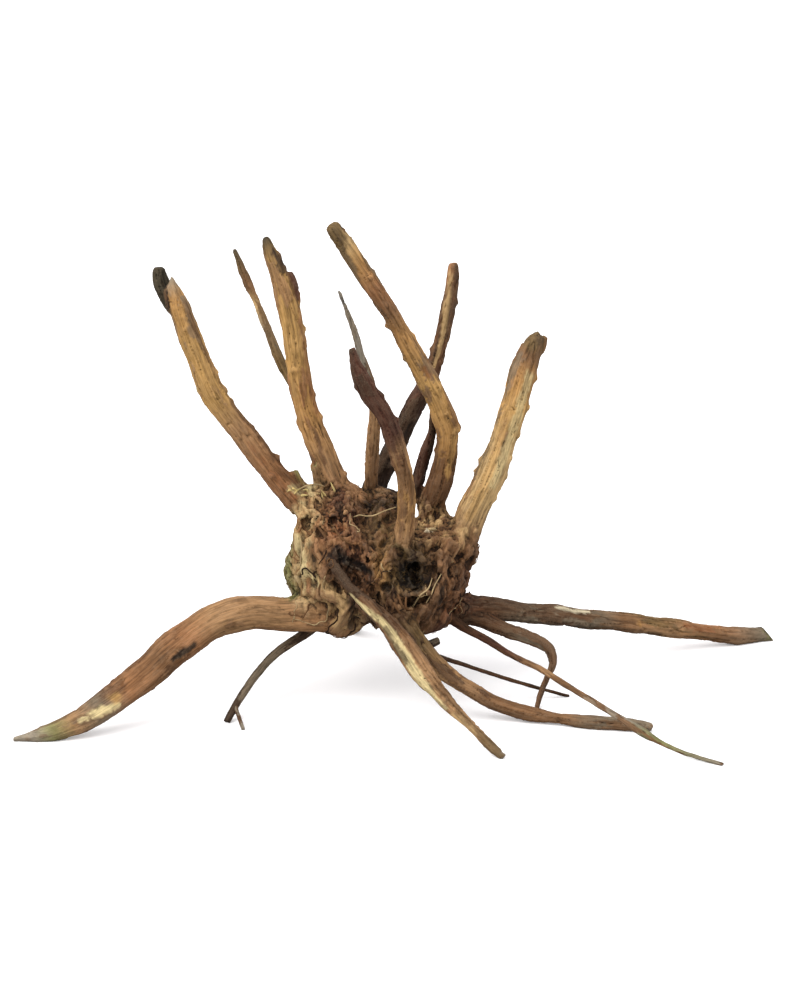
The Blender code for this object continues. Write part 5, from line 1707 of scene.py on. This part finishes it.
def long_grain() -> Group:
    """Streaks along the limbs, and clouds drawn out up and down on the ball.

    Returns:
        A group that takes the place along the limb, the place in space (both in millimetres), the ball
        share and the streaks' width and length, and gives streaks, slow clouds and fine grit.
    """
    group = Group("long_grain", {"Along": "Vector", "Place": "Vector", "Ball": "Float", "Width": "Float",
                                 "Length": "Float"},
                  {"Streak": "Float", "Cloud": "Float", "Grit": "Float"})
    tree, given = group.inside, group.given
    thin = tree.sum_of("DIVIDE", 1.0, given["Width"])
    long = tree.sum_of("DIVIDE", 1.0, given["Length"])
    size = tree.add("ShaderNodeCombineXYZ")
    for slot, value in zip(size.inputs, (thin, thin, long)):
        tree.join(value, slot)
    fine = tree.product(given["Along"], size.outputs[0])
    slow = tree.product(given["Along"], (0.16, 0.16, 0.035))
    drawn = tree.product(given["Place"], (1.0, 1.0, 0.42))
    limb_streak = tree.noise(fine, scale=1.0, detail=6.0, rough=0.66, bend=0.3)
    limb_cloud = tree.noise(slow, scale=1.0, detail=3.0, rough=0.55, bend=0.4)
    ball_streak = tree.noise(drawn, scale=0.42, detail=6.0, rough=0.68, bend=1.4)
    ball_cloud = tree.noise(drawn, scale=0.11, detail=3.0, rough=0.6, bend=0.9)
    grit = tree.noise(given["Place"], scale=1.5, detail=4.0, rough=0.7)
    tree.join(tree.blend(limb_streak, ball_streak, given["Ball"]), group.result["Streak"])
    tree.join(tree.blend(limb_cloud, ball_cloud, given["Ball"]), group.result["Cloud"])
    tree.join(grit, group.result["Grit"])
    return group


@dataclass(frozen=True)
class WornWoodAndCreaseShade:
    """How the wood has weathered, with painted shade in its creases: the light that each mark adds or takes,
    and where rust and bleach show.
    """

    cloud_light: float = 0.14
    grit_light: float = 0.07
    crest_light: float = 0.32
    crease_painted_shade: float = -0.62
    least_light: float = 0.12
    rust: tuple[float, ...] = (0.17, 0.080, 0.032, 1.0)
    rust_most: float = 0.2
    bleached: tuple[float, ...] = (0.26, 0.205, 0.145, 1.0)
    bleach_most: float = 0.5
    least_rough: float = 0.58
    grit_rough: float = 0.22
    bark_rough: float = 0.10
    streak_height: float = 0.65
    grit_height: float = 0.35

    def group(self) -> Group:
        """Paint shade into creases, bleach crests and streak the tint.

        Returns:
            A group that takes the tint, the grain's three values, the wear with its crease shade, the bark
            share and the streaks' contrast, and gives colour, roughness and height.
        """
        group = Group("worn_wood_and_crease_shade", {"Tint": "Color", "Streak": "Float", "Cloud": "Float", "Grit": "Float",
                                    "Wear": "Float", "Bark": "Float", "Contrast": "Float"},
                      {"Color": "Color", "Roughness": "Float", "Height": "Float"})
        tree, given = group.inside, group.given
        streak = tree.ramp(given["Streak"], 0.32, 0.68, -1.0, 1.0)
        cloud = tree.ramp(given["Cloud"], 0.3, 0.7, -1.0, 1.0)
        grit = tree.ramp(given["Grit"], 0.3, 0.7, -1.0, 1.0)
        light = tree.sum_of("MULTIPLY_ADD", streak, given["Contrast"], 1.0)
        light = tree.sum_of("MULTIPLY_ADD", cloud, self.cloud_light, light)
        light = tree.sum_of("MULTIPLY_ADD", grit, self.grit_light, light)
        crest = tree.ramp(given["Wear"], 0.0, 1.0)
        crease_shade = tree.ramp(given["Wear"], 0.0, -1.0)
        light = tree.sum_of("MULTIPLY_ADD", crest, self.crest_light, light)
        # Painted shade: creases are darkened.
        light = tree.sum_of("MULTIPLY_ADD", crease_shade, self.crease_painted_shade, light)
        light = tree.sum_of("MAXIMUM", light, self.least_light)
        shade = tree.add("ShaderNodeCombineXYZ")
        for slot in shade.inputs:
            tree.join(light, slot)
        tinted = tree.product(given["Tint"], shade.outputs[0])
        rusted = tree.ramp(given["Cloud"], 0.55, 0.85, 0.0, self.rust_most)
        rusty = tree.blend(tinted, self.rust, rusted, "RGBA")
        bleach = tree.sum_of("MULTIPLY", crest, tree.ramp(given["Grit"], 0.4, 0.7, 0.1, 0.5))
        bleach = tree.sum_of("MULTIPLY", bleach, self.bleach_most)
        tree.join(tree.blend(rusty, self.bleached, bleach, "RGBA"), group.result["Color"])
        rough = tree.sum_of("MULTIPLY_ADD", given["Grit"], self.grit_rough, self.least_rough)
        rough = tree.sum_of("MULTIPLY_ADD", given["Bark"], self.bark_rough, rough, clamp=True)
        tree.join(rough, group.result["Roughness"])
        height = tree.sum_of("MULTIPLY", given["Grit"], self.grit_height)
        height = tree.sum_of("MULTIPLY_ADD", given["Streak"], self.streak_height, height)
        tree.join(height, group.result["Height"])
        return group


@dataclass(frozen=True)
class WoodFinish:
    """One finish of the wood: how its streaks run and how deep they are."""

    name: str
    streak_width: float = 1.5
    streak_length: float = 26.0
    contrast: float = 0.42
    relief: float = 0.5
    relief_height: float = 0.0006
    specular: float = 0.14

    def material(self, grain: Group, weather: Group) -> bpy.types.Material:
        """Make the material.

        Args:
            grain: The group that gives the grain.
            weather: The group that wears and tints it and paints shade into its creases.

        Returns:
            The material.
        """
        made = bpy.data.materials.new(self.name)
        made.use_nodes = True
        tree = Tree(made.node_tree)
        marks = {name: tree.add("ShaderNodeAttribute", attribute_name=name).outputs
                 for name in ("tint", "along", "ball", "wear_and_crease_shade", "bark")}
        place = tree.product(tree.add("ShaderNodeTexCoord").outputs["Object"], (1 / MM, 1 / MM, 1 / MM))
        lines = grain.place(tree, Along=marks["along"]["Vector"], Place=place, Ball=marks["ball"]["Fac"],
                            Width=self.streak_width, Length=self.streak_length)
        worn_and_shaded = weather.place(tree, Tint=marks["tint"]["Color"], Streak=lines["Streak"], Cloud=lines["Cloud"],
                             Grit=lines["Grit"], Wear=marks["wear_and_crease_shade"]["Fac"], Bark=marks["bark"]["Fac"],
                             Contrast=self.contrast)
        shader = tree.add("ShaderNodeBsdfPrincipled")
        shader.inputs["Specular IOR Level"].default_value = self.specular
        tree.join(worn_and_shaded["Color"], shader.inputs["Base Color"])
        tree.join(worn_and_shaded["Roughness"], shader.inputs["Roughness"])
        bump = tree.add("ShaderNodeBump")
        bump.inputs["Strength"].default_value = self.relief
        bump.inputs["Distance"].default_value = self.relief_height
        tree.join(worn_and_shaded["Height"], bump.inputs["Height"])
        tree.join(bump.outputs["Normal"], shader.inputs["Normal"])
        tree.join(shader.outputs[0], tree.add("ShaderNodeOutputMaterial").inputs["Surface"])
        return made


FINISHES = (
    WoodFinish("driftwood_bark"),
    WoodFinish("thin_root_bark", streak_width=0.9, streak_length=9.0, contrast=0.3),
    WoodFinish("dry_fibre", streak_width=1.2, streak_length=6.0, contrast=0.2, relief=0.3, specular=0.12),
)


@dataclass
class Studio:
    """The white floor, the soft light and the camera."""

    floor_half: float = 40.0
    floor_drop: float = 0.0002
    floor_tones: tuple[tuple[float, ...], ...] = ((0.90, 0.885, 0.90, 1.0), (0.93, 0.92, 0.93, 1.0))
    floor_unseen: tuple[float, ...] = (0.40, 0.40, 0.40, 1.0)
    floor_rough: float = 0.9
    floor_glow: float = 0.15
    white: tuple[float, ...] = (1.0, 1.0, 1.0, 1.0)
    sky: float = 1.0
    sun_width: float = 50.0
    sun_tone: tuple[float, ...] = (1.0, 0.985, 0.96)
    suns: tuple[tuple[str, tuple[float, ...], float], ...] = (
        ("soft_key", (0.8, 0.65, -1.15), 0.83), ("soft_fill", (-0.8, 0.55, -0.8), 0.24))
    distance: float = 1600.0
    target_height: float = 139.5
    elevation: float = 16.0
    pixel: float = 0.689
    picture_height: int = 1000
    sensor: float = 36.0
    far: float = 200.0

    def build_floor(self) -> bpy.types.Object:
        """A wide white floor just under the wood, which throws back less light than it shows."""
        half = self.floor_half
        mesh = bpy.data.meshes.new("floor")
        square = ((-half, -half), (half, -half), (half, half), (-half, half))
        mesh.from_pydata([(x, y, -self.floor_drop) for x, y in square], [], [(0, 1, 2, 3)])
        floor = bpy.data.objects.new("floor", mesh)
        bpy.context.scene.collection.objects.link(floor)
        paper = bpy.data.materials.new("white_paper")
        paper.use_nodes = True
        tree = Tree(paper.node_tree)
        shader = tree.add("ShaderNodeBsdfPrincipled")
        place = tree.add("ShaderNodeTexCoord").outputs["Object"]
        seen = tree.blend(*self.floor_tones, tree.noise(place, scale=3.0, detail=2.0, rough=0.5), "RGBA")
        straight = tree.add("ShaderNodeLightPath").outputs["Is Camera Ray"]
        tree.join(tree.blend(self.floor_unseen, seen, straight, "RGBA"), shader.inputs["Base Color"])
        shader.inputs["Roughness"].default_value = self.floor_rough
        shader.inputs["Specular IOR Level"].default_value = 0.0
        shader.inputs["Emission Color"].default_value = self.white
        tree.join(tree.sum_of("MULTIPLY", straight, self.floor_glow), shader.inputs["Emission Strength"])
        tree.join(shader.outputs[0], tree.add("ShaderNodeOutputMaterial").inputs["Surface"])
        mesh.materials.append(paper)
        return floor

    def add_sun(self, name: str, travel: tuple[float, ...], share: float) -> None:
        """A wide soft sun.

        Args:
            name: Its name.
            travel: The way its light goes.
            share: How much of its light a white sheet that faces it gives back.
        """
        data = bpy.data.lights.new(name, "SUN")
        data.energy = share * math.pi
        data.angle = math.radians(self.sun_width)
        data.color = self.sun_tone
        sun = bpy.data.objects.new(name, data)
        sun.rotation_euler = Vector(travel).to_track_quat("-Z", "Y").to_euler()
        bpy.context.scene.collection.objects.link(sun)

    def build(self) -> bpy.types.Object:
        """Make the world, the suns, the camera and the floor.

        Returns:
            The floor.
        """
        scene = bpy.context.scene
        scene.view_settings.view_transform = "Standard"
        world = bpy.data.worlds.new("white_room")
        world.use_nodes = True
        world.node_tree.nodes["Background"].inputs["Color"].default_value = self.white
        world.node_tree.nodes["Background"].inputs["Strength"].default_value = self.sky
        scene.world = world
        for name, travel, share in self.suns:
            self.add_sun(name, travel, share)
        data = bpy.data.cameras.new("camera")
        camera = bpy.data.objects.new("camera", data)
        scene.collection.objects.link(camera)
        tilt = math.radians(self.elevation)
        away = Vector((0, -math.cos(tilt), math.sin(tilt))) * self.distance
        camera.location = (away + Vector((0, 0, self.target_height)) - Vector(ORIGIN)) * MM
        camera.rotation_euler = (math.pi / 2 - tilt, 0, 0)
        data.sensor_width = self.sensor
        data.lens = self.distance / self.pixel * self.sensor / self.picture_height
        data.clip_end = self.far
        scene.camera = camera
        return self.build_floor()


def main() -> None:
    """Build the wood, its finish and the studio, put every piece under the root body and hide the node."""
    logging.basicConfig(level=logging.INFO, format="%(message)s")
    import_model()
    Studio().build()
    relief = Relief()
    colouring = Colouring(LimbField(BRANCHES + SPURS + SPLINTERS + ROOTS + RIDGES), relief)
    grain, weather = long_grain(), WornWoodAndCreaseShade().group()
    skin_finish, thin_finish, fibre_finish = (finish.material(grain, weather) for finish in FINISHES)
    skin = Stump(relief, colouring).build()
    pieces = {skin: skin_finish}
    pieces.update({root: thin_finish for root in ThinRoots(relief).build()})
    fibres = Fibres(skin, relief)
    pieces.update({fibres.build(kind): fibre_finish for kind in FIBRE_KINDS})
    pieces[Moss(skin, relief).build()] = fibre_finish
    for piece, finish in pieces.items():
        piece.data.materials.clear()
        piece.data.materials.append(finish)
        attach(piece, "root")
        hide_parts(NODE)
        LOG.info("%s: %d triangles", piece.name, sum(len(face.vertices) - 2 for face in piece.data.polygons))


if __name__ == "__main__":
    main()
